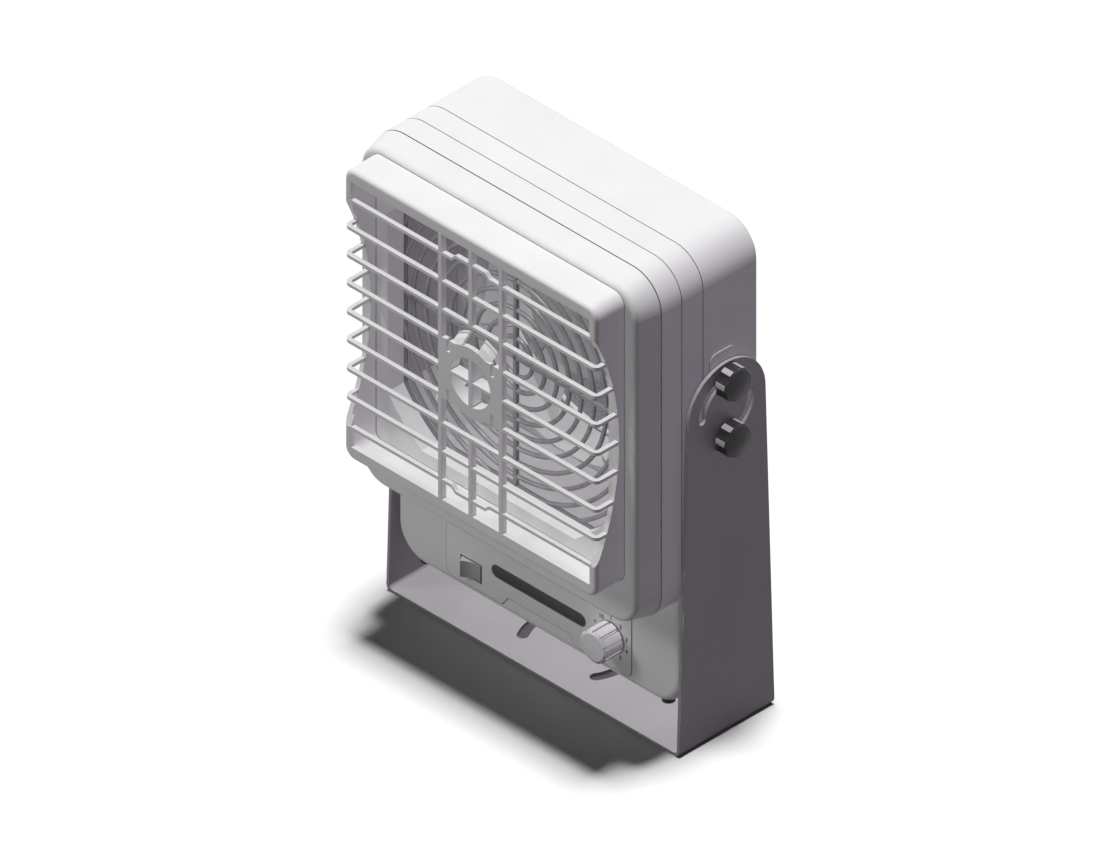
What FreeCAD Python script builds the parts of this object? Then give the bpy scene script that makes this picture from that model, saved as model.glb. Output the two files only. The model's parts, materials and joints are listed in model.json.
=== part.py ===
import FreeCAD, Part
import math
import os

Vector = FreeCAD.Vector
X_AXIS = Vector(1, 0, 0)
Y_AXIS = Vector(0, 1, 0)
Z_AXIS = Vector(0, 0, 1)

# The blower stands with +Z up and blows towards -Y. All sizes are millimetres.
# The origin is the middle of the underside of the stand.

# Housing, seen from the front: margins round the louvre, and the panel below
BODY_BOTTOM = 24.3
BODY_CORNER = 20.5
PANEL_HEIGHT = 62.4
HEAD_FOOT = 29.55
HEAD_TOP_MARGIN = 6.65
HEAD_SIDE_MARGIN = 12.0
SHELL_WALL = 2.5

# Housing, from the front to the back
REAR_FACE = 26.0
REAR_CASE_DEPTH = 40.7
PANEL_DEPTH = 15.6
HEAD_DEPTH = 14.7
COVER_DEPTH = 15.6
COVER_TAPER = 3.7
COVER_EDGE = 3.0
REAR_EDGE = 2.2
PANEL_EDGE = 4.5
JOINT_GROOVE = 0.6
JOINT_LIP = 3.0
JOINT_LIP_WALL = 1.5
JOINT_CLEARANCE = 0.15
SEAM_WIDTH = 0.5
SEAM_DEPTH = 0.35

# Stand of folded sheet, and the tilt lock
SHEET = 2.0
STAND_DEPTH = 70.0
STAND_BEND = 4.1
ARM_TOP_RADIUS = 28.5
PIVOT_DROP = 1.7
ARM_CLEARANCE = 0.3
PAD_THICKNESS = 0.7
PAD_FRONT = -9.7
PAD_BACK = 8.3
PAD_HALF_HEIGHT = 35.5
PAD_CORNER = 4.0
CENTRE_HOLE_RADIUS = 3.3
BASE_SLOT_WIDTH = 6.6
BASE_SLOT_ORBIT = 31.0
BASE_SLOT_HALF_ANGLE = 30.0
TILT_RANGE = 90.0
STUD_RADIUS = 2.5
STUD_ORBIT = 17.9
STUD_SLOT_CLEARANCE = 0.2
STUD_REACH = 9.0
THREAD_CLEARANCE = 0.05
INSERT_WALL = 1.6
INSERT_LENGTH = 9.0
INSERT_FLANGE = 0.8
INSERT_FLANGE_WALL = 0.9
BOSS_WALL = 2.4
CLAMP_KNOB_RADIUS = 9.15
CLAMP_KNOB_LENGTH = 9.8
CLAMP_FLUTES = 10
CLAMP_FLUTE_RADIUS = 1.7
CLAMP_FLUTE_DEPTH = 0.9
CLAMP_KNOB_EDGE = 1.2
CLAMP_COLLAR_RADIUS = 6.2
CLAMP_COLLAR_LENGTH = 1.4
CLAMP_STUD_SEAT = 6.0

# Air path: louvre, finger guard, duct and fan share one axis
FAN_BORE_RADIUS = 78.5
FAN_RIM = 2.9
FAN_CORNER_REACH = 20.5
DUCT_WALL = 2.0
STACK_GAP = 0.1
GUARD_PITCH = 9.1
GUARD_FIRST_RADIUS = 12.0
GUARD_RINGS = 10
GUARD_WIRE = 2.7
COVER_RETURN = 11.8

LOUVRE_SIDE_REACH = 11.6
LOUVRE_TOP_REACH = 11.05
LOUVRE_DEPTH = 20.7
LOUVRE_CORNER = 7.3
LOUVRE_EDGE = 2.6
LOUVRE_WALL = 3.0
LOUVRE_FRAME = 3.0
LOUVRE_SIDE_RAIL = 5.0
LOUVRE_RAIL = 8.0
BAR_PITCH = 18.1
BARS_EACH_WAY = 4
BAR_HEIGHT = 2.0
BAR_DEPTH = 2.6
BAR_CORNER = 3.6
UPRIGHT_SPACING = 22.3
UPRIGHT_WIDTH = 2.6
UPRIGHT_DEPTH = 3.4
SIDE_CUT_HALF_HEIGHT = 72.3
SIDE_CUT_DEPTH = 17.0
BAR_JOG = 2.7
BAR_JOG_HALF = 11.0
BAR_JOG_RUN = 3.0
HUB_RADIUS = 22.3
HUB_HOLE_RADIUS = 14.9
HUB_PLATE = 2.6
HUB_WING_HALF_HEIGHT = 19.5
HUB_TUBE_WALL = 1.5
HUB_TUBE_DEPTH = 7.0
HUB_CLIP_WALL = 1.8
HUB_CLIP_START = 50.0
HUB_CLIP_END = 75.0
HUB_CLIP_ROOT_RUN = 2.4
HUB_CLIP_ROOT_RISE = 3.1
HUB_CLIP_TIP_RUN = 3.3
HUB_CLIP_TIP_RISE = 2.0
HUB_CLIP_LIP = 0.7
HUB_CLIP_LIP_RUN = 1.5
HUB_NOTCH_AT = 16.2
HUB_NOTCH_WIDTH = 2.2
HUB_NOTCH_LENGTH = 7.5
WELD = 1.0

FAN_DEPTH = 25.5
FAN_LIP = 2.5
TIP_CLEARANCE = 1.5
IMPELLER_HUB_RADIUS = 32.0
IMPELLER_HUB_WALL = 2.5
IMPELLER_HUB_EDGE = 1.5
IMPELLER_DEPTH = 19.0
IMPELLER_SETBACK = 3.0
BLADES = 7
BLADE_ROOT_CHORD = 27.0
BLADE_TIP_CHORD = 42.0
BLADE_ROOT_ANGLE = 36.0
BLADE_TIP_ANGLE = 22.0
BLADE_CAMBER = 3.2
BLADE_THICKNESS = 1.8
MOTOR_BASE_RADIUS = 33.0
MOTOR_BASE_DEPTH = 3.0
FAN_STRUTS = 4
STRUT_WIDTH = 5.0
SHAFT_RADIUS = 2.0
BEARING_RADIUS = 5.0
BEARING_LENGTH = 4.0
BEARING_TUBE_WALL = 1.6
RUNNING_CLEARANCE = 0.05
ROTOR_CLEARANCE = 0.8
STATOR_CLEARANCE = 1.0
STATOR_POLES = 6
FAN_SCREW_REACH = 13.4
FAN_SCREW_RADIUS = 2.0
SCREW_CLEARANCE = 0.1
FAN_POST_RADIUS = 5.0
FAN_POST_RISE = 2.0
SCREW_HEAD_RATIO = 1.9
SCREW_HEAD_HEIGHT = 2.4

# Ion emitters, one in each corner of the duct
EMITTER_SETBACK = 14.0
EMITTER_HOLDER_RADIUS = 4.0
EMITTER_HOLDER_REACH = 21.0
NEEDLE_RADIUS = 0.75
NEEDLE_REACH = 12.0
NEEDLE_POINT = 5.0
NEEDLE_TIP_RADIUS = 0.1
NEEDLE_SEAT = 6.0

# Rear air inlet
INLET_MARGIN = 2.5
INLET_CORNER = 10.0
INLET_RIM = 5.0
INLET_RECESS = 1.6
GRILLE_SLOTS = 11
GRILLE_SLOT_WIDTH = 6.5
GRILLE_RIB = 2.6
GRILLE_THICKNESS = 2.4
FILTER_THICKNESS = 3.0
FILTER_PLAY = 0.1
GRILLE_CLEARANCE = 0.3

# Operating panel under the head; a rise is a height above the underside of the housing
OVERLAY_HALF_WIDTH = 68.3
OVERLAY_RISE = 4.6
OVERLAY_TOP_GAP = 2.0
OVERLAY_CORNER = 4.5
OVERLAY_THICKNESS = 0.4
NOTCH_BASE_HALF = 27.8
NOTCH_TOP_HALF = 22.8
NOTCH_HEIGHT = 5.9
WINDOW_HALF_WIDTH = 34.5
WINDOW_RISE = 23.6
WINDOW_HEIGHT = 7.6
WINDOW_SET = 0.15
WINDOW_SEAT = 1.2
LEDS = 4
LED_SPACING = 13.0
LED_WIDTH = 4.0
LED_HEIGHT = 2.4
ROCKER_X = -49.85
ROCKER_RISE = 15.7
ROCKER_WIDTH = 14.5
ROCKER_HEIGHT = 10.6
ROCKER_DEPTH = 6.0
ROCKER_PROUD = 3.9
ROCKER_LEAN = 2.4
ROCKER_SIDE_CLEARANCE = 0.2
ROCKER_TOE = 4.0
ROCKER_HEEL = 5.0
ROCKER_HOLLOW = 1.2
ROCKER_PIVOT_DEPTH = 1.6
ROCKER_PIN_RADIUS = 1.1
ROCKER_BEZEL = 0.5
ROCKER_BOX_WALL = 1.0
ROCKER_BODY_DEPTH = 12.0
DIAL_X = 53.2
DIAL_RISE = 23.8
DIAL_RADIUS = 9.8
DIAL_LENGTH = 13.3
DIAL_GAP = 0.4
DIAL_CHAMFER = 1.3
DIAL_FLUTES = 14
DIAL_FLUTE_WIDTH = 1.3
DIAL_FLUTE_DEPTH = 0.5
DIAL_SHAFT_RADIUS = 3.0
DIAL_SHAFT_SEAT = 9.0
DIAL_BUSH_RADIUS = 4.4
POT_RADIUS = 8.0
POT_LENGTH = 7.0

# Electronics behind the panel, feet, screws and power inlet
BOARD_THICKNESS = 1.6
BOARD_SETBACK = 7.0
BOARD_HALF_WIDTH = 78.0
BOARD_RISE = 8.7
BOARD_HEIGHT = 48.0
BOARD_POST_RADIUS = 3.0
MODULE_WIDTH = 96.0
MODULE_HEIGHT = 44.0
MODULE_DEPTH = 22.0
MODULE_RISE = 15.7
MODULE_EDGE = 2.0
MODULE_POST_RADIUS = 4.0
FOOT_RADIUS = 3.65
FOOT_PROUD = 1.6
FOOT_X = 89.0
FOOT_FRONT_Y = -24.0
FOOT_REAR_Y = 14.0
FOOT_STEM_RADIUS = 1.5
CASE_SCREW_RADIUS = 1.75
CASE_POST_RADIUS = 4.6
CASE_SCREW_SINK = 3.4
CASE_SCREW_BITE = 9.0
SOCKET_MODULE_GAP = 4.0
SOCKET_RISE = 33.7
SOCKET_WIDTH = 20.0
SOCKET_HEIGHT = 12.0
SOCKET_DEPTH = 14.0
SOCKET_WALL = 1.5
SOCKET_FLANGE = 2.5
SOCKET_FLANGE_THICKNESS = 1.2
SOCKET_PINS = 4
SOCKET_PIN_SIZE = 1.0
EARTH_SCREW_X = -30.0

# Places that follow from the sizes above
DUCT_HALF = FAN_BORE_RADIUS + FAN_RIM
DUCT_ROUND_RADIUS = FAN_BORE_RADIUS + FAN_CORNER_REACH
LOUVRE_HALF_WIDTH = DUCT_HALF + LOUVRE_SIDE_REACH
LOUVRE_HALF_HEIGHT = DUCT_HALF + LOUVRE_TOP_REACH
HEAD_BOTTOM = BODY_BOTTOM + PANEL_HEIGHT
AIR_AXIS_HEIGHT = HEAD_BOTTOM + HEAD_FOOT + LOUVRE_HALF_HEIGHT
PIVOT_HEIGHT = AIR_AXIS_HEIGHT - PIVOT_DROP
BODY_HALF = LOUVRE_HALF_WIDTH + HEAD_SIDE_MARGIN
BODY_TOP = AIR_AXIS_HEIGHT + LOUVRE_HALF_HEIGHT + HEAD_TOP_MARGIN
LOUVRE_BOTTOM = AIR_AXIS_HEIGHT - LOUVRE_HALF_HEIGHT
LOUVRE_TOP = AIR_AXIS_HEIGHT + LOUVRE_HALF_HEIGHT
CASE_SPLIT = REAR_FACE - REAR_CASE_DEPTH
PANEL_FACE = CASE_SPLIT - PANEL_DEPTH
COVER_SPLIT = PANEL_FACE - HEAD_DEPTH
COVER_FACE = COVER_SPLIT - COVER_DEPTH
LOUVRE_FRONT = COVER_FACE - LOUVRE_DEPTH
REAR_WALL = REAR_FACE - SHELL_WALL
PAD_FACE = BODY_HALF + PAD_THICKNESS
ARM_INNER = PAD_FACE + ARM_CLEARANCE
ARM_OUTER = ARM_INNER + SHEET
STUD_SLOT_WIDTH = 2 * (STUD_RADIUS + STUD_SLOT_CLEARANCE)
INSERT_RADIUS = STUD_RADIUS + THREAD_CLEARANCE + INSERT_WALL
GUARD_FRONT = COVER_FACE + COVER_RETURN + STACK_GAP
GUARD_BACK = GUARD_FRONT + GUARD_WIRE
DUCT_FRONT = GUARD_BACK + STACK_GAP
WELL_FLOOR = REAR_FACE - INLET_RECESS - GRILLE_THICKNESS - FILTER_THICKNESS
FAN_BACK = WELL_FLOOR - SHELL_WALL
FAN_FRONT = FAN_BACK - FAN_DEPTH
DUCT_BACK = FAN_FRONT - STACK_GAP
BLADE_TIP_RADIUS = FAN_BORE_RADIUS - TIP_CLEARANCE
FAN_SCREW_SPACING = (FAN_BORE_RADIUS + FAN_SCREW_REACH) * math.sqrt(0.5)
EMITTER_HOLDER_TIP = DUCT_ROUND_RADIUS - EMITTER_HOLDER_REACH
NEEDLE_TIP = EMITTER_HOLDER_TIP - NEEDLE_REACH
INLET_HALF = FAN_BORE_RADIUS - INLET_MARGIN
INLET_SOCKET_X = -(MODULE_WIDTH / 2 + SOCKET_MODULE_GAP + SOCKET_WIDTH / 2)
INLET_SOCKET_Z = BODY_BOTTOM + SOCKET_RISE
OVERLAY_BOTTOM = BODY_BOTTOM + OVERLAY_RISE
NOTCH_TOP = OVERLAY_BOTTOM + NOTCH_HEIGHT
WINDOW_Z = BODY_BOTTOM + WINDOW_RISE
ROCKER_Z = BODY_BOTTOM + ROCKER_RISE
DIAL_Z = BODY_BOTTOM + DIAL_RISE
BOARD_BOTTOM = BODY_BOTTOM + BOARD_RISE
MODULE_BOTTOM = BODY_BOTTOM + MODULE_RISE


def block(x_low, x_high, y_low, y_high, z_low, z_high):
    """Plain box between two corners."""
    corner = Vector(x_low, y_low, z_low)
    return Part.makeBox(x_high - x_low, y_high - y_low, z_high - z_low, corner)


def rod_x(radius, x_low, x_high, y, z):
    return Part.makeCylinder(radius, x_high - x_low, Vector(x_low, y, z), X_AXIS)


def rod_y(radius, y_low, y_high, x, z):
    return Part.makeCylinder(radius, y_high - y_low, Vector(x, y_low, z), Y_AXIS)


def rod_z(radius, z_low, z_high, x, y):
    return Part.makeCylinder(radius, z_high - z_low, Vector(x, y, z_low), Z_AXIS)


def rounded_outline(x_low, x_high, z_low, z_high, radius, y):
    """Rounded rectangle, as a closed wire in an upright plane."""
    slant = radius * math.sqrt(0.5)
    corners = [
        (x_high - radius, z_high - radius, 1, 1),
        (x_low + radius, z_high - radius, -1, 1),
        (x_low + radius, z_low + radius, -1, -1),
        (x_high - radius, z_low + radius, 1, -1),
    ]
    arcs = []
    for x, z, side, level in corners:
        beside = Vector(x + side * radius, y, z)
        above = Vector(x, y, z + level * radius)
        middle = Vector(x + side * slant, y, z + level * slant)
        if side == level:
            arcs.append(Part.Arc(beside, middle, above))
        else:
            arcs.append(Part.Arc(above, middle, beside))
    edges = []
    for index, arc in enumerate(arcs):
        following = arcs[(index + 1) % len(arcs)]
        edges.append(arc.toShape())
        edges.append(Part.LineSegment(arc.EndPoint, following.StartPoint).toShape())
    return Part.Wire(edges)


def rounded_block(x_low, x_high, z_low, z_high, radius, y_low, y_high):
    """Rounded rectangle of the front view, extruded from y_low to y_high."""
    outline = rounded_outline(x_low, x_high, z_low, z_high, radius, y_low)
    return Part.Face(outline).extrude(Vector(0, y_high - y_low, 0))


def body_block(inset, y_low, y_high):
    """Full-height outline of the housing, smaller all round by inset."""
    return rounded_block(-BODY_HALF + inset, BODY_HALF - inset, BODY_BOTTOM + inset,
                         BODY_TOP - inset, BODY_CORNER - inset, y_low, y_high)


def head_outline(inset, y):
    return rounded_outline(-BODY_HALF + inset, BODY_HALF - inset, HEAD_BOTTOM + inset,
                           BODY_TOP - inset, BODY_CORNER - inset, y)


def head_block(inset, y_low, y_high):
    """Outline of the upper part that stands proud of the operating panel."""
    return Part.Face(head_outline(inset, y_low)).extrude(Vector(0, y_high - y_low, 0))


def duct_block(offset, y_low, y_high):
    """Air passage: a square whose corners are cut by a circle, larger all round by offset."""
    half = DUCT_HALF + offset
    square = block(-half, half, y_low, y_high, AIR_AXIS_HEIGHT - half, AIR_AXIS_HEIGHT + half)
    return square.common(rod_y(DUCT_ROUND_RADIUS + offset, y_low, y_high, 0, AIR_AXIS_HEIGHT))


def ring_y(outer, inner, y_low, y_high, x, z):
    return rod_y(outer, y_low, y_high, x, z).cut(rod_y(inner, y_low, y_high, x, z))


def ring_x(outer, inner, x_low, x_high, y, z):
    return rod_x(outer, x_low, x_high, y, z).cut(rod_x(inner, x_low, x_high, y, z))


def fuse_all(shapes):
    return shapes[0].multiFuse(shapes[1:]).removeSplitter()


def cut_all(shape, tools):
    for tool in tools:
        shape = shape.cut(tool)
    return shape


def edges_at_y(shape, y):
    """Edges of a solid that lie wholly in the plane Y = y."""
    found = []
    for edge in shape.Edges:
        box = edge.BoundBox
        if abs(box.YMin - y) < 1e-4 and abs(box.YMax - y) < 1e-4:
            found.append(edge)
    return found


def mirrored_x(shape):
    return shape.mirror(Vector(0, 0, 0), X_AXIS)


def turned_about_air_axis(shape, angle):
    turned = shape.copy()
    turned.rotate(Vector(0, 0, AIR_AXIS_HEIGHT), Y_AXIS, angle)
    return turned


def arc_slot(width, orbit, start, end, centre, axis, zero, depth):
    """Curved slot with round ends, cut along axis; angles turn from zero about axis."""
    half = width / 2

    def point(radius, angle):
        turn = FreeCAD.Rotation(axis, angle)
        return centre + turn.multVec(zero) * radius

    middle = (start + end) / 2
    end_cap = turned_direction(axis, zero, end)
    start_cap = turned_direction(axis, zero, start)
    outer = Part.Arc(point(orbit + half, start), point(orbit + half, middle), point(orbit + half, end))
    inner = Part.Arc(point(orbit - half, end), point(orbit - half, middle), point(orbit - half, start))
    far = Part.Arc(point(orbit + half, end), point(orbit, end) + end_cap * half,
                   point(orbit - half, end))
    near = Part.Arc(point(orbit - half, start), point(orbit, start) - start_cap * half,
                    point(orbit + half, start))
    wire = Part.Wire([outer.toShape(), far.toShape(), inner.toShape(), near.toShape()])
    return Part.Face(wire).extrude(axis * depth)


def turned_direction(axis, zero, angle):
    """Direction in which a point at this angle moves as the angle grows."""
    return axis.cross(FreeCAD.Rotation(axis, angle).multVec(zero))


def stud_places():
    """Tilt-lock studs: above and below the pivot, on both sides."""
    places = []
    for side_name, side in (("left", -1), ("right", 1)):
        for level_name, level in (("upper", 1), ("lower", -1)):
            places.append((side_name, side, level_name, PIVOT_HEIGHT + level * STUD_ORBIT))
    return places


def stand_bracket():
    """Folded sheet: a base with mounting slots and two tapering arms with tilt slots."""
    top = PIVOT_HEIGHT + ARM_TOP_RADIUS
    half_depth = STAND_DEPTH / 2
    outer = block(-ARM_OUTER, ARM_OUTER, -half_depth, half_depth, 0, top)
    outer = outer.makeFillet(STAND_BEND, bend_edges(outer, 0))
    inner = block(-ARM_INNER, ARM_INNER, -half_depth, half_depth, SHEET, top)
    inner = inner.makeFillet(STAND_BEND - SHEET, bend_edges(inner, SHEET))
    folded = outer.cut(inner).common(arm_profile())
    cuts = [rod_z(CENTRE_HOLE_RADIUS, 0, SHEET, 0, 0)]
    for zero in (X_AXIS, X_AXIS * -1):
        cuts.append(arc_slot(BASE_SLOT_WIDTH, BASE_SLOT_ORBIT, -BASE_SLOT_HALF_ANGLE,
                             BASE_SLOT_HALF_ANGLE, Vector(0, 0, 0), Z_AXIS, zero, SHEET))
    for zero in (Z_AXIS, Z_AXIS * -1):
        for start_x in (-ARM_OUTER, ARM_INNER):
            cuts.append(arc_slot(STUD_SLOT_WIDTH, STUD_ORBIT, 0, TILT_RANGE,
                                 Vector(start_x, 0, PIVOT_HEIGHT), X_AXIS, zero, SHEET))
    return cut_all(folded, cuts)


def bend_edges(shape, z):
    """Bottom edges of the folded sheet that run from front to back."""
    found = []
    for edge in shape.Edges:
        box = edge.BoundBox
        if box.YLength > STAND_DEPTH / 2 and abs(box.ZMax - z) < 1e-4:
            found.append(edge)
    return found


def arm_profile():
    """Side view of the stand: full depth at the base, tangent to a half circle at the top."""
    half_depth = STAND_DEPTH / 2
    rise = PIVOT_HEIGHT - STAND_BEND
    reach = math.hypot(half_depth, rise)
    lean = math.acos(ARM_TOP_RADIUS / reach) - math.atan2(rise, half_depth)
    touch_y = ARM_TOP_RADIUS * math.cos(lean)
    touch_z = PIVOT_HEIGHT + ARM_TOP_RADIUS * math.sin(lean)
    start_x = -ARM_OUTER
    points = [
        Vector(start_x, -touch_y, touch_z),
        Vector(start_x, -half_depth, STAND_BEND),
        Vector(start_x, -half_depth, 0),
        Vector(start_x, half_depth, 0),
        Vector(start_x, half_depth, STAND_BEND),
        Vector(start_x, touch_y, touch_z),
    ]
    edges = []
    for first, second in zip(points, points[1:]):
        edges.append(Part.LineSegment(first, second).toShape())
    crown = Vector(start_x, 0, PIVOT_HEIGHT + ARM_TOP_RADIUS)
    edges.append(Part.Arc(points[-1], crown, points[0]).toShape())
    return Part.Face(Part.Wire(edges)).extrude(X_AXIS * (2 * ARM_OUTER))


def seam(y):
    """Fine line round the housing where two mould parts or shells meet."""
    band = body_block(-1, y - SEAM_WIDTH / 2, y + SEAM_WIDTH / 2)
    return band.cut(body_block(SEAM_DEPTH, y - SEAM_WIDTH / 2, y + SEAM_WIDTH / 2))


def case_screw_places():
    """Screws near the rounded corners, where each post runs into the shell."""
    reach = (BODY_CORNER - SHELL_WALL - CASE_POST_RADIUS + WELD) * math.sqrt(0.5)
    across = BODY_HALF - BODY_CORNER + reach
    places = []
    for side in (-1, 1):
        for z in (BODY_BOTTOM + BODY_CORNER - reach, BODY_TOP - BODY_CORNER + reach):
            places.append((side * across, z))
    return places


def fan_screw_places():
    places = []
    for x in (-FAN_SCREW_SPACING, FAN_SCREW_SPACING):
        for z in (-FAN_SCREW_SPACING, FAN_SCREW_SPACING):
            places.append((x, AIR_AXIS_HEIGHT + z))
    return places


def inlet_outline(offset, y_low, y_high):
    half = INLET_HALF + offset
    return rounded_block(-half, half, AIR_AXIS_HEIGHT - half, AIR_AXIS_HEIGHT + half,
                         INLET_CORNER + offset, y_low, y_high)


def insert_boss_radius():
    return INSERT_RADIUS + INSERT_FLANGE_WALL + BOSS_WALL


def rear_case():
    """Deep rear shell with the side pads, the stud bosses and the rear air inlet."""
    outer = body_block(0, CASE_SPLIT, REAR_FACE)
    outer = outer.makeFillet(REAR_EDGE, edges_at_y(outer, REAR_FACE))
    shell = outer.cut(body_block(SHELL_WALL, CASE_SPLIT, REAR_WALL))
    pad = pad_block()
    additions = [shell, pad, mirrored_x(pad)]
    for _, side, _, z in stud_places():
        near = BODY_HALF - SHELL_WALL - INSERT_LENGTH
        low, high = sorted((side * near, side * (BODY_HALF - SHELL_WALL / 2)))
        additions.append(rod_x(insert_boss_radius(), low, high, 0, z))
    for x, z in case_screw_places():
        additions.append(rod_y(CASE_POST_RADIUS, CASE_SPLIT, REAR_WALL + WELD, x, z))
    additions.append(inlet_outline(INLET_RIM + SHELL_WALL, FAN_BACK, REAR_WALL + WELD))
    for x in (-MODULE_WIDTH / 2 + 2 * MODULE_POST_RADIUS, MODULE_WIDTH / 2 - 2 * MODULE_POST_RADIUS):
        additions.append(rod_y(MODULE_POST_RADIUS, module_back(), REAR_WALL + WELD, x, module_middle()))
    case = fuse_all(additions)
    case = case.cut(inlet_outline(INLET_RIM, WELL_FLOOR, REAR_FACE + WELD))
    post_top = WELL_FLOOR + FAN_POST_RISE
    posts = [rod_y(FAN_POST_RADIUS, FAN_BACK, post_top, x, z) for x, z in fan_screw_places()]
    case = fuse_all([case] + posts)
    cuts = [
        rod_y(FAN_BORE_RADIUS, FAN_BACK - WELD, WELL_FLOOR + WELD, 0, AIR_AXIS_HEIGHT),
        seam(CASE_SPLIT),
    ]
    for _, side, _, z in stud_places():
        cuts.extend(insert_holes(side, z))
    for x, z in case_screw_places():
        cuts.append(rod_y(CASE_SCREW_RADIUS + SCREW_CLEARANCE, CASE_SPLIT, REAR_FACE, x, z))
        sink = CASE_SCREW_RADIUS * SCREW_HEAD_RATIO + 2 * SCREW_CLEARANCE
        cuts.append(rod_y(sink, REAR_FACE - CASE_SCREW_SINK, REAR_FACE + WELD, x, z))
    for x, z in fan_screw_places():
        hole = FAN_SCREW_RADIUS + THREAD_CLEARANCE
        cuts.append(rod_y(hole, FAN_BACK, post_top, x, z))
    cuts.append(socket_block(STACK_GAP, REAR_WALL - WELD, REAR_FACE + WELD))
    cuts.append(rod_y(CASE_SCREW_RADIUS + SCREW_CLEARANCE, REAR_WALL - WELD, REAR_FACE + WELD,
                      EARTH_SCREW_X, INLET_SOCKET_Z))
    for x in (-FOOT_X, FOOT_X):
        cuts.append(rod_z(FOOT_STEM_RADIUS, 0, BODY_BOTTOM + BODY_CORNER, x, FOOT_REAR_Y))
    return cut_all(case, cuts)


def pad_block():
    """Raised rubbing pad on the side of the case, under the arm of the stand."""
    pad = block(BODY_HALF - SHELL_WALL / 2, PAD_FACE, PAD_FRONT, PAD_BACK,
                PIVOT_HEIGHT - PAD_HALF_HEIGHT, PIVOT_HEIGHT + PAD_HALF_HEIGHT)
    upright = []
    for edge in pad.Edges:
        box = edge.BoundBox
        if box.XLength > PAD_THICKNESS and box.YLength < 1e-6 and box.ZLength < 1e-6:
            upright.append(edge)
    return pad.makeFillet(PAD_CORNER, upright)


def insert_holes(side, z):
    """Stepped hole in which a threaded insert sits."""
    flange = INSERT_RADIUS + INSERT_FLANGE_WALL
    spans = [
        (INSERT_RADIUS, BODY_HALF - SHELL_WALL - INSERT_LENGTH, PAD_FACE),
        (flange, PAD_FACE - INSERT_FLANGE, PAD_FACE + WELD),
    ]
    holes = []
    for radius, near, far in spans:
        low, high = sorted((side * near, side * far))
        holes.append(rod_x(radius, low, high, 0, z))
    return holes


def front_case():
    """Middle shell: the operating panel below, and the frame of the head above."""
    lower = body_block(0, PANEL_FACE, CASE_SPLIT)
    lower = lower.makeFillet(PANEL_EDGE, edges_at_y(lower, PANEL_FACE))
    upper_band = head_block(0, PANEL_FACE, CASE_SPLIT)
    upper = head_block(0, COVER_SPLIT, PANEL_FACE)
    outer = fuse_all([lower, upper_band, upper])
    cavity = body_block(SHELL_WALL, PANEL_FACE + SHELL_WALL, CASE_SPLIT)
    head_cavity = head_block(SHELL_WALL, COVER_SPLIT, CASE_SPLIT)
    shell = outer.cut(fuse_all([cavity, head_cavity]))
    lip_inset = SHELL_WALL + JOINT_CLEARANCE
    lip = body_block(lip_inset, CASE_SPLIT - WELD, CASE_SPLIT + JOINT_LIP)
    lip = lip.cut(body_block(lip_inset + JOINT_LIP_WALL, CASE_SPLIT - WELD, CASE_SPLIT + JOINT_LIP))
    root = body_block(SHELL_WALL / 2, CASE_SPLIT - 2 * WELD, CASE_SPLIT)
    root = root.cut(body_block(lip_inset + JOINT_LIP_WALL, CASE_SPLIT - 2 * WELD, CASE_SPLIT))
    additions = [shell, lip.cut(case_post_holes(JOINT_CLEARANCE)), root]
    for x, z in case_screw_places():
        front = CASE_SPLIT - CASE_SCREW_BITE - SHELL_WALL
        if z < HEAD_BOTTOM:
            front = PANEL_FACE + SHELL_WALL - WELD
        post = rod_y(CASE_POST_RADIUS, front, CASE_SPLIT, x, z)
        additions.append(post.common(outer))
    for x in (-1, 1):
        for z in (BOARD_BOTTOM + 2 * BOARD_POST_RADIUS, BOARD_BOTTOM + BOARD_HEIGHT - 2 * BOARD_POST_RADIUS):
            post_x = x * (BOARD_HALF_WIDTH - 2 * BOARD_POST_RADIUS)
            additions.append(rod_y(BOARD_POST_RADIUS, PANEL_FACE + SHELL_WALL - WELD,
                                   board_front() - STACK_GAP, post_x, z))
    case = fuse_all(additions)
    cuts = [
        seam(CASE_SPLIT),
        seam(PANEL_FACE).common(block(-ARM_OUTER, ARM_OUTER, COVER_FACE, REAR_FACE,
                                      HEAD_BOTTOM + BODY_CORNER, BODY_TOP + WELD)),
        window_block(STACK_GAP, PANEL_FACE - WELD, PANEL_FACE + SHELL_WALL + WELD),
        rocker_opening(ROCKER_BEZEL, PANEL_FACE - WELD, PANEL_FACE + SHELL_WALL + WELD),
        rod_y(DIAL_BUSH_RADIUS + STACK_GAP, PANEL_FACE - WELD, PANEL_FACE + SHELL_WALL + WELD,
              DIAL_X, DIAL_Z),
    ]
    for x, z in case_screw_places():
        cuts.append(rod_y(CASE_SCREW_RADIUS + THREAD_CLEARANCE, CASE_SPLIT - CASE_SCREW_BITE,
                          CASE_SPLIT, x, z))
    for x in (-FOOT_X, FOOT_X):
        cuts.append(rod_z(FOOT_STEM_RADIUS, 0, BODY_BOTTOM + BODY_CORNER, x, FOOT_FRONT_Y))
    return cut_all(case, cuts)


def case_post_holes(clearance):
    posts = []
    for x, z in case_screw_places():
        posts.append(rod_y(CASE_POST_RADIUS + clearance, CASE_SPLIT, CASE_SPLIT + 2 * JOINT_LIP, x, z))
    return fuse_all(posts)


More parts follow.
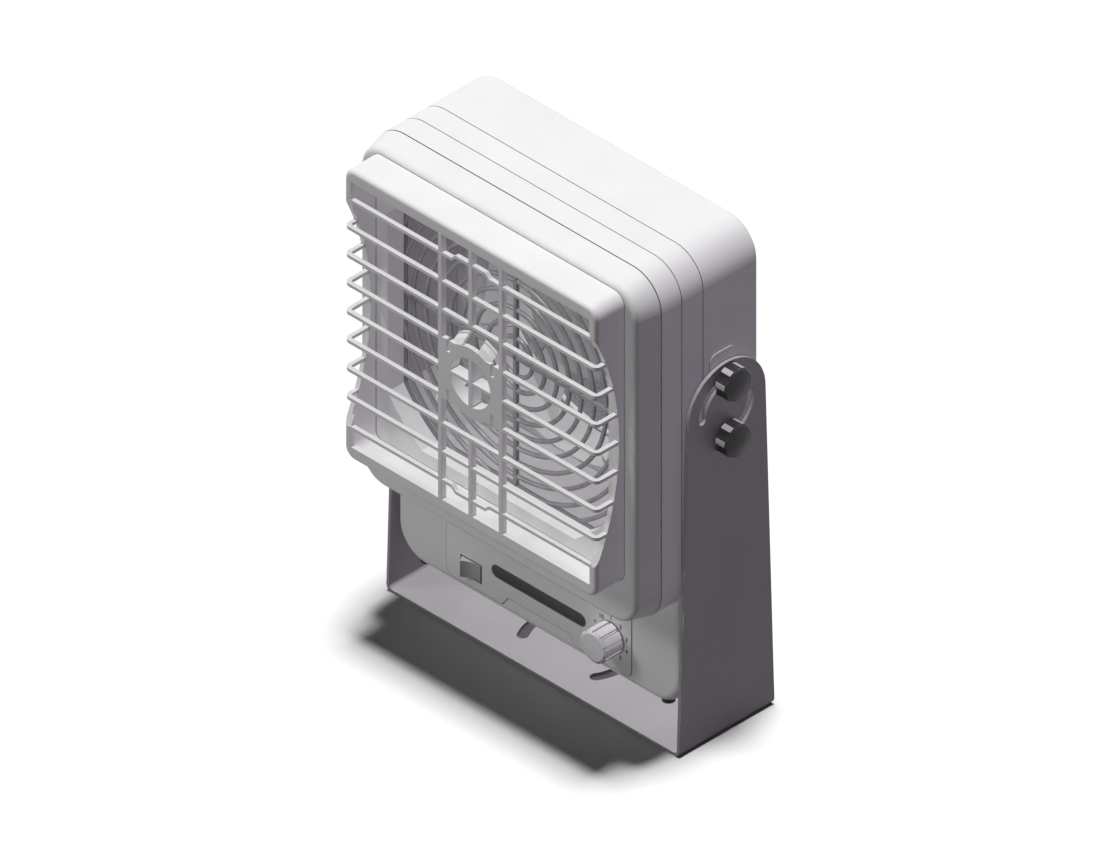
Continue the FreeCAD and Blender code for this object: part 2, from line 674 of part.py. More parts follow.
def front_cover():
    """Tapered cover round the air outlet, with a return wall down to the finger guard."""
    seat = COVER_SPLIT
    outer = Part.makeLoft([head_outline(0, seat), head_outline(COVER_TAPER, COVER_FACE)], True, True)
    outer = outer.makeFillet(COVER_EDGE, edges_at_y(outer, COVER_FACE))
    inner = Part.makeLoft([head_outline(SHELL_WALL, seat),
                           head_outline(SHELL_WALL + COVER_TAPER, COVER_FACE + SHELL_WALL)], True, True)
    shell = outer.cut(inner)
    groove = head_block(-WELD, seat - JOINT_GROOVE, seat)
    groove = groove.cut(head_block(JOINT_GROOVE, seat - JOINT_GROOVE, seat))
    lip_inset = SHELL_WALL + JOINT_CLEARANCE
    lip = head_block(lip_inset, seat - SHELL_WALL, seat + JOINT_LIP)
    lip = lip.cut(head_block(lip_inset + JOINT_LIP_WALL, seat - SHELL_WALL, seat + JOINT_LIP))
    root = head_block(SHELL_WALL / 2, seat - SHELL_WALL, seat)
    root = root.cut(head_block(lip_inset + JOINT_LIP_WALL, seat - SHELL_WALL, seat)).common(outer)
    return_back = COVER_FACE + COVER_RETURN
    return_wall = duct_block(DUCT_WALL, COVER_FACE + SHELL_WALL / 2, return_back)
    cover = fuse_all([shell, lip, root, return_wall])
    cover = cover.cut(groove)
    return cover.cut(duct_block(0, COVER_FACE - WELD, return_back + WELD))


def louvre():
    """Front louvre: a box frame, wrapped bars, three uprights and a clip hub."""
    parts = [louvre_frame()]
    for step in range(-BARS_EACH_WAY, BARS_EACH_WAY + 1):
        if abs(step) == BARS_EACH_WAY:
            parts.append(jogged_bar(step))
        else:
            parts.append(wrapped_bar(step))
    parts.extend(uprights())
    parts.append(hub())
    return fuse_all(parts)


def louvre_frame():
    half = LOUVRE_HALF_WIDTH
    outer = rounded_block(-half, half, LOUVRE_BOTTOM, LOUVRE_TOP, LOUVRE_CORNER, LOUVRE_FRONT, COVER_FACE)
    outer = outer.makeFillet(LOUVRE_EDGE, edges_at_y(outer, LOUVRE_FRONT))
    wall = LOUVRE_WALL
    hollow = rounded_block(-half + wall, half - wall, LOUVRE_BOTTOM + wall, LOUVRE_TOP - wall,
                           LOUVRE_CORNER - wall, LOUVRE_FRONT + LOUVRE_FRAME, COVER_FACE)
    side = half - LOUVRE_SIDE_RAIL
    mouth = block(-side, side, LOUVRE_FRONT - WELD, COVER_FACE,
                  LOUVRE_BOTTOM + LOUVRE_RAIL, LOUVRE_TOP - LOUVRE_RAIL)
    frame = outer.cut(hollow).cut(mouth)
    cut_radius = side_cut_radius()
    cut_y = LOUVRE_FRONT + SIDE_CUT_DEPTH - cut_radius
    scoop = rod_x(cut_radius, -half - WELD, half + WELD, cut_y, AIR_AXIS_HEIGHT)
    reach = block(-half - WELD, half + WELD, LOUVRE_FRONT - WELD, COVER_FACE,
                  AIR_AXIS_HEIGHT - SIDE_CUT_HALF_HEIGHT, AIR_AXIS_HEIGHT + SIDE_CUT_HALF_HEIGHT)
    return frame.cut(scoop.common(reach))


def side_cut_radius():
    return (SIDE_CUT_HALF_HEIGHT ** 2 + SIDE_CUT_DEPTH ** 2) / (2 * SIDE_CUT_DEPTH)


def side_cut_depth(height):
    """Depth of the side cut below the front plane, at a height from the air axis."""
    radius = side_cut_radius()
    return SIDE_CUT_DEPTH - radius + math.sqrt(radius ** 2 - height ** 2)


def bar_step(step):
    return AIR_AXIS_HEIGHT + step * BAR_PITCH


def wrapped_bar(step):
    """Bar across the front that turns round both corners and ends in the side walls."""
    z = bar_step(step)
    low = z - BAR_HEIGHT / 2
    high = z + BAR_HEIGHT / 2
    back = LOUVRE_FRONT + side_cut_depth(step * BAR_PITCH) + WELD
    half = LOUVRE_HALF_WIDTH
    outer = block(-half, half, LOUVRE_FRONT, back, low, high)
    inner = block(-half + BAR_DEPTH, half - BAR_DEPTH, LOUVRE_FRONT + BAR_DEPTH, back + WELD, low, high)
    outer = outer.makeFillet(BAR_CORNER, upright_edges_at(outer, LOUVRE_FRONT))
    inner = inner.makeFillet(BAR_CORNER - BAR_DEPTH, upright_edges_at(inner, LOUVRE_FRONT + BAR_DEPTH))
    bar = outer.cut(inner)
    if abs(step) < 2:
        bar = bar.cut(block(-UPRIGHT_SPACING, UPRIGHT_SPACING, LOUVRE_FRONT - WELD,
                            LOUVRE_FRONT + 2 * BAR_DEPTH, low, high))
    return bar


def upright_edges_at(shape, y):
    found = []
    for edge in shape.Edges:
        box = edge.BoundBox
        if box.ZLength > BAR_HEIGHT / 2 and abs(box.YMin - y) < 1e-4 and abs(box.YMax - y) < 1e-4:
            found.append(edge)
    return found


def jogged_bar(step):
    """First and last bar, which steps away from the hub in the middle."""
    outward = 1 if step > 0 else -1
    z = bar_step(step)
    end = LOUVRE_HALF_WIDTH - LOUVRE_SIDE_RAIL + WELD
    run = BAR_JOG_HALF + BAR_JOG_RUN
    path = [(-end, 0), (-run, 0), (-BAR_JOG_HALF, BAR_JOG), (BAR_JOG_HALF, BAR_JOG), (run, 0), (end, 0)]
    lower = [Vector(x, LOUVRE_FRONT, z + outward * rise - BAR_HEIGHT / 2) for x, rise in path]
    upper = [Vector(x, LOUVRE_FRONT, z + outward * rise + BAR_HEIGHT / 2) for x, rise in path]
    outline = Part.makePolygon(lower + upper[::-1] + lower[:1])
    return Part.Face(outline).extrude(Vector(0, BAR_DEPTH, 0))


def uprights():
    """Two full-height uprights, and a middle one that stops short of the hub."""
    bottom = LOUVRE_BOTTOM + LOUVRE_RAIL - WELD
    top = LOUVRE_TOP - LOUVRE_RAIL + WELD
    half = UPRIGHT_WIDTH / 2
    back = LOUVRE_FRONT + UPRIGHT_DEPTH
    posts = []
    for x in (-UPRIGHT_SPACING, UPRIGHT_SPACING):
        posts.append(block(x - half, x + half, LOUVRE_FRONT, back, bottom, top))
    posts.append(block(-half, half, LOUVRE_FRONT, back, bottom, bar_step(-2)))
    posts.append(block(-half, half, LOUVRE_FRONT, back, bar_step(2), top))
    return posts


def hub():
    """Clip plate between the inner uprights, with a tube, a cross and curved clips behind it."""
    front = LOUVRE_FRONT
    back = front + HUB_PLATE
    z = AIR_AXIS_HEIGHT
    wing = block(-UPRIGHT_SPACING, UPRIGHT_SPACING, front, back,
                 z - HUB_WING_HALF_HEIGHT, z + HUB_WING_HALF_HEIGHT)
    plate = rod_y(HUB_RADIUS, front, back, 0, z).fuse(wing)
    tube = rod_y(HUB_HOLE_RADIUS + HUB_TUBE_WALL, front, front + HUB_TUBE_DEPTH, 0, z)
    body = plate.fuse(tube).cut(rod_y(HUB_HOLE_RADIUS, front - WELD, front + HUB_TUBE_DEPTH + WELD, 0, z))
    half = UPRIGHT_WIDTH / 2
    reach = HUB_HOLE_RADIUS + HUB_TUBE_WALL / 2
    cross = block(-half, half, front, front + HUB_TUBE_DEPTH, z - reach, z + reach)
    arm = block(-reach, reach, front, front + HUB_TUBE_DEPTH, z - BAR_HEIGHT / 2, z + BAR_HEIGHT / 2)
    notches = []
    for x in (-HUB_NOTCH_AT, HUB_NOTCH_AT):
        for level in (-1, 1):
            low, high = sorted((z + level * (HUB_WING_HALF_HEIGHT - HUB_NOTCH_LENGTH),
                                z + level * (HUB_WING_HALF_HEIGHT + WELD)))
            notches.append(block(x - HUB_NOTCH_WIDTH / 2, x + HUB_NOTCH_WIDTH / 2,
                                 front - WELD, back + WELD, low, high))
    pieces = [cut_all(body, notches), cross, arm]
    pieces.extend(hub_clips(front))
    return fuse_all(pieces)


def hub_clips(front):
    """Four curved clips that lean out from the rim of the hub as they go back, each with a lip."""
    knee = front + HUB_CLIP_ROOT_RUN
    tip = knee + HUB_CLIP_TIP_RUN
    rise = HUB_CLIP_ROOT_RISE + HUB_CLIP_TIP_RISE
    root = rim_band(front, 0).extrude(Vector(0, HUB_CLIP_ROOT_RUN, HUB_CLIP_ROOT_RISE))
    blade = rim_band(knee, HUB_CLIP_ROOT_RISE).extrude(Vector(0, HUB_CLIP_TIP_RUN, HUB_CLIP_TIP_RISE))
    lip = rim_band(tip - HUB_CLIP_LIP_RUN / 2, rise + HUB_CLIP_LIP).extrude(Vector(0, HUB_CLIP_LIP_RUN, 0))
    right = fuse_all([root, blade, lip])
    upper = [right, mirrored_x(right)]
    lower = [clip.mirror(Vector(0, 0, AIR_AXIS_HEIGHT), Vector(0, 0, 1)) for clip in upper]
    return upper + lower


def rim_band(y, rise):
    """Flat piece of the hub's rim, at y, under one clip and moved up by rise."""
    middle = (HUB_CLIP_START + HUB_CLIP_END) / 2
    inner = HUB_RADIUS - HUB_CLIP_WALL
    far = [rim_point(HUB_RADIUS, angle, y, rise) for angle in (HUB_CLIP_START, middle, HUB_CLIP_END)]
    near = [rim_point(inner, angle, y, rise) for angle in (HUB_CLIP_END, middle, HUB_CLIP_START)]
    edges = [
        Part.Arc(*far).toShape(),
        Part.LineSegment(far[-1], near[0]).toShape(),
        Part.Arc(*near).toShape(),
        Part.LineSegment(near[-1], far[0]).toShape(),
    ]
    return Part.Face(Part.Wire(edges))


def rim_point(radius, angle, y, rise):
    radians = math.radians(angle)
    return Vector(radius * math.cos(radians), y, AIR_AXIS_HEIGHT + rise + radius * math.sin(radians))


def finger_guard():
    """Concentric rings and a cross, welded into a frame that fits the duct."""
    frame = duct_block(DUCT_WALL, GUARD_FRONT, GUARD_BACK).cut(duct_block(0, GUARD_FRONT, GUARD_BACK))
    rings = []
    for index in range(GUARD_RINGS):
        radius = GUARD_FIRST_RADIUS + index * GUARD_PITCH
        rings.append(guard_ring(radius))
    half = GUARD_WIRE / 2
    reach = DUCT_HALF + DUCT_WALL / 2
    z = AIR_AXIS_HEIGHT
    across = block(-reach, reach, GUARD_FRONT, GUARD_BACK, z - half, z + half)
    along = block(-half, half, GUARD_FRONT, GUARD_BACK, z - reach, z + reach)
    limits = duct_block(DUCT_WALL / 2, GUARD_FRONT, GUARD_BACK)
    wires = [ring.common(limits) for ring in rings]
    return fuse_all([frame, across, along] + wires)


def guard_ring(radius):
    """Ring of square wire standing on its corner."""
    half = GUARD_WIRE / 2
    middle = (GUARD_FRONT + GUARD_BACK) / 2
    corners = [(half, 0), (0, half), (-half, 0), (0, -half), (half, 0)]
    points = [Vector(radius + across, middle + along, AIR_AXIS_HEIGHT) for across, along in corners]
    return Part.Face(Part.makePolygon(points)).revolve(Vector(0, 0, AIR_AXIS_HEIGHT), Y_AXIS, 360)


def air_duct():
    """Straight duct between the guard and the fan, with holes for the emitter holders."""
    duct = duct_block(DUCT_WALL, DUCT_FRONT, DUCT_BACK).cut(duct_block(0, DUCT_FRONT, DUCT_BACK))
    return cut_all(duct, [emitter_rod(EMITTER_HOLDER_RADIUS, NEEDLE_TIP, 2 * DUCT_ROUND_RADIUS, angle)
                          for angle in emitter_angles()])


def emitter_angles():
    return [45, 135, 225, 315]


def emitter_rod(radius, near, far, angle):
    """Radial rod towards a corner of the duct, in the plane of the emitters."""
    y = DUCT_FRONT + EMITTER_SETBACK
    rod = rod_x(radius, near, far, y, AIR_AXIS_HEIGHT)
    return turned_about_air_axis(rod, angle)


def emitter_holders():
    """Insulating holders through the duct wall, each with a socket for its needle."""
    holders = []
    far = DUCT_ROUND_RADIUS + 2 * DUCT_WALL
    for angle in emitter_angles():
        stem = emitter_rod(EMITTER_HOLDER_RADIUS, EMITTER_HOLDER_TIP, far, angle)
        flange = emitter_rod(EMITTER_HOLDER_RADIUS + DUCT_WALL, DUCT_ROUND_RADIUS + DUCT_WALL, far, angle)
        hole = emitter_rod(NEEDLE_RADIUS, EMITTER_HOLDER_TIP, EMITTER_HOLDER_TIP + NEEDLE_SEAT, angle)
        holders.append(stem.fuse(flange).cut(hole))
    return Part.Compound(holders)


def emitter_needles():
    """Discharge needles with a finely rounded-off point."""
    needles = []
    y = DUCT_FRONT + EMITTER_SETBACK
    for angle in emitter_angles():
        base = NEEDLE_TIP + NEEDLE_POINT
        body = emitter_rod(NEEDLE_RADIUS, base, EMITTER_HOLDER_TIP + NEEDLE_SEAT, angle)
        point = Part.makeCone(NEEDLE_TIP_RADIUS, NEEDLE_RADIUS, NEEDLE_POINT,
                              Vector(NEEDLE_TIP, y, AIR_AXIS_HEIGHT), X_AXIS)
        needles.append(body.fuse(turned_about_air_axis(point, angle)))
    return Part.Compound(needles)


def bearing_tube_radius():
    return BEARING_RADIUS + BEARING_TUBE_WALL


def impeller_front():
    return FAN_FRONT + IMPELLER_SETBACK


def motor_base_front():
    return FAN_BACK - MOTOR_BASE_DEPTH


def fan_frame():
    """Square fan frame with a round bore, a lipped outlet, struts and the motor base."""
    frame = duct_block(DUCT_WALL, FAN_FRONT, FAN_BACK)
    bore = rod_y(FAN_BORE_RADIUS, FAN_FRONT, FAN_BACK, 0, AIR_AXIS_HEIGHT)
    frame = frame.cut(bore)
    frame = frame.makeChamfer(FAN_LIP, bore_edges(frame, FAN_FRONT) + bore_edges(frame, FAN_BACK))
    base_front = motor_base_front()
    base = rod_y(MOTOR_BASE_RADIUS, base_front, FAN_BACK, 0, AIR_AXIS_HEIGHT)
    tube = rod_y(bearing_tube_radius(), bearing_tube_front(), FAN_BACK, 0, AIR_AXIS_HEIGHT)
    parts = [frame, base, tube]
    for index in range(FAN_STRUTS):
        strut = block(0, FAN_BORE_RADIUS + FAN_LIP, base_front, FAN_BACK,
                      AIR_AXIS_HEIGHT - STRUT_WIDTH / 2, AIR_AXIS_HEIGHT + STRUT_WIDTH / 2)
        parts.append(turned_about_air_axis(strut, 360 * (index + 0.5) / FAN_STRUTS))
    body = fuse_all(parts)
    cuts = [
        rod_y(BEARING_RADIUS, bearing_tube_front(), FAN_BACK - MOTOR_BASE_DEPTH / 2, 0, AIR_AXIS_HEIGHT),
    ]
    for x, z in fan_screw_places():
        cuts.append(rod_y(FAN_SCREW_RADIUS + SCREW_CLEARANCE, FAN_FRONT, FAN_BACK, x, z))
        head = FAN_SCREW_RADIUS * SCREW_HEAD_RATIO + SCREW_CLEARANCE
        cuts.append(rod_y(head, FAN_FRONT, FAN_FRONT + SCREW_HEAD_HEIGHT, x, z))
    return cut_all(body, cuts)


def bore_edges(shape, y):
    found = []
    for edge in edges_at_y(shape, y):
        if abs(edge.BoundBox.XLength - 2 * FAN_BORE_RADIUS) < 1:
            found.append(edge)
    return found


def bearing_tube_front():
    return impeller_front() + IMPELLER_HUB_WALL + ROTOR_CLEARANCE


def fan_bearings():
    """Two ring bearings in the bearing tube."""
    inner = SHAFT_RADIUS + RUNNING_CLEARANCE
    front = bearing_tube_front()
    back = FAN_BACK - MOTOR_BASE_DEPTH / 2
    rings = [
        ring_y(BEARING_RADIUS, inner, front, front + BEARING_LENGTH, 0, AIR_AXIS_HEIGHT),
        ring_y(BEARING_RADIUS, inner, back - BEARING_LENGTH, back, 0, AIR_AXIS_HEIGHT),
    ]
    return Part.Compound(rings)


def fan_stator():
    """Wound stator of the fan motor, on the bearing tube inside the impeller hub."""
    front = bearing_tube_front() + ROTOR_CLEARANCE
    back = motor_base_front()
    radius = IMPELLER_HUB_RADIUS - IMPELLER_HUB_WALL - STATOR_CLEARANCE
    core = rod_y((radius + bearing_tube_radius()) / 2, front, back, 0, AIR_AXIS_HEIGHT)
    poles = [core]
    for index in range(STATOR_POLES):
        pole = block(0, radius, front, back, AIR_AXIS_HEIGHT - radius / 4, AIR_AXIS_HEIGHT + radius / 4)
        poles.append(turned_about_air_axis(pole, 360 * index / STATOR_POLES))
    stator = fuse_all(poles).common(rod_y(radius, front, back, 0, AIR_AXIS_HEIGHT))
    return stator.cut(rod_y(bearing_tube_radius(), front, back, 0, AIR_AXIS_HEIGHT))


def impeller():
    """Cup-shaped hub with twisted blades."""
    front = impeller_front()
    back = front + IMPELLER_DEPTH
    hub_back = motor_base_front() - ROTOR_CLEARANCE
    cup = rod_y(IMPELLER_HUB_RADIUS, front, hub_back, 0, AIR_AXIS_HEIGHT)
    cup = cup.makeChamfer(IMPELLER_HUB_EDGE, edges_at_y(cup, front))
    hollow = rod_y(IMPELLER_HUB_RADIUS - IMPELLER_HUB_WALL, front + IMPELLER_HUB_WALL, hub_back,
                   0, AIR_AXIS_HEIGHT)
    cup = cup.cut(hollow).cut(rod_y(SHAFT_RADIUS, front, back, 0, AIR_AXIS_HEIGHT))
    blade = impeller_blade((front + hub_back) / 2)
    parts = [cup]
    for index in range(BLADES):
        parts.append(turned_about_air_axis(blade, 360 * index / BLADES))
    return fuse_all(parts)


def impeller_blade(middle):
    """Twisted, cambered blade that stands up from the hub and ends on the tip circle."""
    root = IMPELLER_HUB_RADIUS - IMPELLER_HUB_WALL / 2
    tip = FAN_BORE_RADIUS
    sections = [
        blade_section(root, BLADE_ROOT_CHORD, BLADE_ROOT_ANGLE, middle),
        blade_section(tip, BLADE_TIP_CHORD, BLADE_TIP_ANGLE, middle),
    ]
    blade = Part.makeLoft(sections, True, True)
    tip_circle = rod_y(BLADE_TIP_RADIUS, FAN_FRONT, FAN_BACK, 0, AIR_AXIS_HEIGHT)
    core = rod_y(IMPELLER_HUB_RADIUS - IMPELLER_HUB_WALL / 2, FAN_FRONT, FAN_BACK, 0, AIR_AXIS_HEIGHT)
    return blade.common(tip_circle).cut(core)


def blade_section(height, chord, angle, middle):
    """Cambered section of a blade, in a level plane at a height above the air axis."""
    centre = Vector(0, middle, AIR_AXIS_HEIGHT + height)
    along = Vector(math.cos(math.radians(angle)), math.sin(math.radians(angle)), 0)
    across = Vector(-along.y, along.x, 0)
    lead = centre - along * (chord / 2)
    trail = centre + along * (chord / 2)
    upper = centre + across * (BLADE_CAMBER + BLADE_THICKNESS / 2)
    lower = centre + across * (BLADE_CAMBER - BLADE_THICKNESS / 2)
    return Part.Wire([Part.Arc(lead, upper, trail).toShape(), Part.Arc(trail, lower, lead).toShape()])


def impeller_shaft():
    front = impeller_front()
    return rod_y(SHAFT_RADIUS, front, FAN_BACK - MOTOR_BASE_DEPTH / 2 - STACK_GAP, 0, AIR_AXIS_HEIGHT)


def screw(radius, x, z, head_y, tip_y):
    """Pan-head screw along Y, with the head beyond head_y away from the tip."""
    outward = 1 if head_y > tip_y else -1
    low, high = sorted((head_y, tip_y))
    shank = rod_y(radius, low, high, x, z)
    crown_y = head_y + outward * SCREW_HEAD_HEIGHT
    head_low, head_high = sorted((head_y, crown_y))
    head = rod_y(radius * SCREW_HEAD_RATIO, head_low, head_high, x, z)
    head = head.makeChamfer(radius / 2, edges_at_y(head, crown_y))
    return shank.fuse(head)


def fan_screws():
    screws = []
    for x, z in fan_screw_places():
        screws.append(screw(FAN_SCREW_RADIUS, x, z, FAN_FRONT + SCREW_HEAD_HEIGHT,
                            WELL_FLOOR + FAN_POST_RISE))
    return Part.Compound(screws)


def case_screws():
    screws = []
    for x, z in case_screw_places():
        screws.append(screw(CASE_SCREW_RADIUS, x, z, REAR_FACE - CASE_SCREW_SINK,
                            CASE_SPLIT - CASE_SCREW_BITE + WELD))
    return Part.Compound(screws)


def inlet_grille():
    """Snap-in grille over the rear inlet, with level slots."""
    back = REAR_FACE - INLET_RECESS
    front = back - GRILLE_THICKNESS
    offset = INLET_RIM - GRILLE_CLEARANCE
    plate = inlet_outline(offset, front, back)
    room = 2 * INLET_HALF / GRILLE_SLOTS
    slots = []
    for index in range(GRILLE_SLOTS):
        z = AIR_AXIS_HEIGHT - INLET_HALF + (index + 0.5) * room
        for side in (-1, 1):
            low, high = sorted((side * GRILLE_RIB, side * (INLET_HALF - GRILLE_RIB)))
            slots.append(block(low, high, front - WELD, back + WELD,
                               z - GRILLE_SLOT_WIDTH / 2, z + GRILLE_SLOT_WIDTH / 2))
    return cut_all(plate, slots)


def inlet_filter():
    """Foam mat between the floor of the inlet well and the grille, notched round the fan posts."""
    back = REAR_FACE - INLET_RECESS - GRILLE_THICKNESS - FILTER_PLAY
    mat = inlet_outline(INLET_RIM - GRILLE_CLEARANCE, WELL_FLOOR + FILTER_PLAY, back)
    room = FAN_POST_RADIUS + GRILLE_CLEARANCE
    posts = [rod_y(room, FAN_BACK, back, x, z) for x, z in fan_screw_places()]
    return cut_all(mat, posts)


def window_block(offset, y_low, y_high):
    """Stadium outline of the indicator window."""
    half = WINDOW_HEIGHT / 2 + offset
    end = WINDOW_HALF_WIDTH - WINDOW_HEIGHT / 2
    middle = block(-end, end, y_low, y_high, WINDOW_Z - half, WINDOW_Z + half)
    ends = [rod_y(half, y_low, y_high, x, WINDOW_Z) for x in (-end, end)]
    return fuse_all([middle] + ends)


def rocker_opening(offset, y_low, y_high):
    half_width = ROCKER_WIDTH / 2 + offset
    half_height = ROCKER_HEIGHT / 2 + offset
    return block(ROCKER_X - half_width, ROCKER_X + half_width, y_low, y_high,
                 ROCKER_Z - half_height, ROCKER_Z + half_height)


def panel_overlay():
    """Thin printed plate on the operating panel, with its cut-outs."""
    front = PANEL_FACE - OVERLAY_THICKNESS
    top = HEAD_BOTTOM - OVERLAY_TOP_GAP
    plate = rounded_block(-OVERLAY_HALF_WIDTH, OVERLAY_HALF_WIDTH, OVERLAY_BOTTOM, top, OVERLAY_CORNER,
                          front, PANEL_FACE)
    low = OVERLAY_BOTTOM - WELD
    notch = [
        Vector(-NOTCH_BASE_HALF, front - WELD, low),
        Vector(NOTCH_BASE_HALF, front - WELD, low),
        Vector(NOTCH_TOP_HALF, front - WELD, NOTCH_TOP),
        Vector(-NOTCH_TOP_HALF, front - WELD, NOTCH_TOP),
        Vector(-NOTCH_BASE_HALF, front - WELD, low),
    ]
    notch_block = Part.Face(Part.makePolygon(notch)).extrude(Vector(0, OVERLAY_THICKNESS + 2 * WELD, 0))
    cuts = [
        notch_block,
        window_block(STACK_GAP, front - WELD, PANEL_FACE + WELD),
        rocker_opening(ROCKER_BEZEL, front - WELD, PANEL_FACE + WELD),
        rod_y(DIAL_BUSH_RADIUS + STACK_GAP, front - WELD, PANEL_FACE + WELD, DIAL_X, DIAL_Z),
    ]
    return cut_all(plate, cuts)


def indicator_window():
    """Dark lens, set a little below the face of the overlay, with a flange behind the panel."""
    front = PANEL_FACE - OVERLAY_THICKNESS + WINDOW_SET
    inside = PANEL_FACE + SHELL_WALL
    lens = window_block(0, front, inside)
    flange = window_block(WINDOW_SEAT, inside, inside + WINDOW_SEAT)
    return lens.fuse(flange)


def board_front():
    return PANEL_FACE + SHELL_WALL + BOARD_SETBACK


def indicator_leds():
    """Row of lamps between the board and the window."""
    lamps = []
    low = PANEL_FACE + SHELL_WALL + WINDOW_SEAT + STACK_GAP
    for index in range(LEDS):
        x = (index - (LEDS - 1) / 2) * LED_SPACING
        lamps.append(block(x - LED_WIDTH / 2, x + LED_WIDTH / 2, low, board_front(),
                           WINDOW_Z - LED_HEIGHT / 2, WINDOW_Z + LED_HEIGHT / 2))
    return Part.Compound(lamps)


def rocker_housing():
    """Switch body: a bezel that lines the opening, and a box behind the panel."""
    front = PANEL_FACE - OVERLAY_THICKNESS - STACK_GAP
    inside = PANEL_FACE + SHELL_WALL
    lining = rocker_opening(ROCKER_BEZEL - STACK_GAP, front, inside)
    box = rocker_opening(ROCKER_BEZEL + ROCKER_BOX_WALL, inside, inside + ROCKER_BODY_DEPTH)
    well = rocker_opening(0, front - WELD, inside + ROCKER_DEPTH)
    reach = ROCKER_HEIGHT / 2 + ROCKER_BEZEL + STACK_GAP
    pin_hole = rod_z(ROCKER_PIN_RADIUS + RUNNING_CLEARANCE, ROCKER_Z - reach, ROCKER_Z + reach,
                     ROCKER_X, rocker_pivot_y())
    return fuse_all([lining, box]).cut(well).cut(pin_hole)


def rocker_pivot_y():
    return PANEL_FACE + ROCKER_PIVOT_DEPTH


def power_rocker():
    """Rocker with a hollow face: the left end stands proud while the right end is pressed in."""
    pin_y = rocker_pivot_y()
    face = PANEL_FACE - OVERLAY_THICKNESS
    swing_radius = ROCKER_WIDTH / 2 - ROCKER_SIDE_CLEARANCE
    half = math.sqrt(swing_radius ** 2 - (pin_y - face) ** 2)
    height = ROCKER_HEIGHT - 2 * ROCKER_SIDE_CLEARANCE
    low = ROCKER_Z - height / 2
    proud = face - ROCKER_PROUD
    left = Vector(ROCKER_X - half + ROCKER_LEAN, proud, low)
    waist = Vector(ROCKER_X - half, face, low)
    hollow = Vector(ROCKER_X + ROCKER_LEAN / 2, (face + proud) / 2 + ROCKER_HOLLOW, low)
    right = Vector(ROCKER_X + half, face, low)
    heel = Vector(ROCKER_X + ROCKER_HEEL, pin_y + ROCKER_PIN_RADIUS, low)
    keel = Vector(ROCKER_X, pin_y + 2 * ROCKER_PIN_RADIUS, low)
    toe = Vector(ROCKER_X - ROCKER_TOE, pin_y, low)
    edges = [Part.Arc(left, hollow, right).toShape()]
    corners = [right, heel, keel, toe, waist, left]
    for first, second in zip(corners, corners[1:]):
        edges.append(Part.LineSegment(first, second).toShape())
    cap = Part.Face(Part.Wire(edges)).extrude(Vector(0, 0, height))
    reach = ROCKER_HEIGHT / 2 + ROCKER_BEZEL
    pin = rod_z(ROCKER_PIN_RADIUS, ROCKER_Z - reach, ROCKER_Z + reach, ROCKER_X, pin_y)
    return cap.fuse(pin)


def dial_front():
    return PANEL_FACE - OVERLAY_THICKNESS - DIAL_GAP - DIAL_LENGTH


def airflow_knob():
    """Fluted turning knob with a bevelled face and a pointer line."""
    front = dial_front()
    back = front + DIAL_LENGTH
    knob = rod_y(DIAL_RADIUS, front, back, DIAL_X, DIAL_Z)
    knob = knob.makeChamfer(DIAL_CHAMFER, edges_at_y(knob, front))
    cuts = [rod_y(DIAL_SHAFT_RADIUS, back - DIAL_SHAFT_SEAT, back, DIAL_X, DIAL_Z)]
    near = DIAL_RADIUS - DIAL_FLUTE_DEPTH
    for index in range(DIAL_FLUTES):
        flute = block(near, DIAL_RADIUS + WELD, front - WELD, back - DIAL_CHAMFER,
                      -DIAL_FLUTE_WIDTH / 2, DIAL_FLUTE_WIDTH / 2)
        flute.rotate(Vector(0, 0, 0), Y_AXIS, 360 * (index + 0.5) / DIAL_FLUTES)
        flute.translate(Vector(DIAL_X, 0, DIAL_Z))
        cuts.append(flute)
    return cut_all(knob, cuts)


def dial_shaft():
    back = PANEL_FACE + SHELL_WALL + POT_LENGTH
    front = dial_front() + DIAL_LENGTH - DIAL_SHAFT_SEAT
    return rod_y(DIAL_SHAFT_RADIUS, front, back, DIAL_X, DIAL_Z)


def potentiometer():
    """Speed control behind the panel, with its threaded bush in the panel hole."""
    inside = PANEL_FACE + SHELL_WALL
    can = rod_y(POT_RADIUS, inside, inside + POT_LENGTH, DIAL_X, DIAL_Z)
    bush = rod_y(DIAL_BUSH_RADIUS, PANEL_FACE - OVERLAY_THICKNESS, inside, DIAL_X, DIAL_Z)
    hole = rod_y(DIAL_SHAFT_RADIUS + RUNNING_CLEARANCE, PANEL_FACE - WELD, inside + POT_LENGTH,
                 DIAL_X, DIAL_Z)
    return can.fuse(bush).cut(hole)


def control_board():
    """Circuit board on posts behind the panel, cut away round the switch and the speed control."""
    front = board_front()
    board = block(-BOARD_HALF_WIDTH, BOARD_HALF_WIDTH, front, front + BOARD_THICKNESS,
                  BOARD_BOTTOM, BOARD_BOTTOM + BOARD_HEIGHT)
    cuts = [rocker_opening(ROCKER_BEZEL + 2, front - WELD, front + BOARD_THICKNESS + WELD)]
    return cut_all(board, cuts)


def module_back():
    return REAR_WALL - FILTER_THICKNESS - STACK_GAP


def module_middle():
    return MODULE_BOTTOM + MODULE_HEIGHT / 2


def high_voltage_module():
    """Potted high-voltage supply on two posts of the rear case."""
    back = module_back()
    module = block(-MODULE_WIDTH / 2, MODULE_WIDTH / 2, back - MODULE_DEPTH, back,
                   MODULE_BOTTOM, MODULE_BOTTOM + MODULE_HEIGHT)
    return module.makeFillet(MODULE_EDGE, edges_at_y(module, back - MODULE_DEPTH))


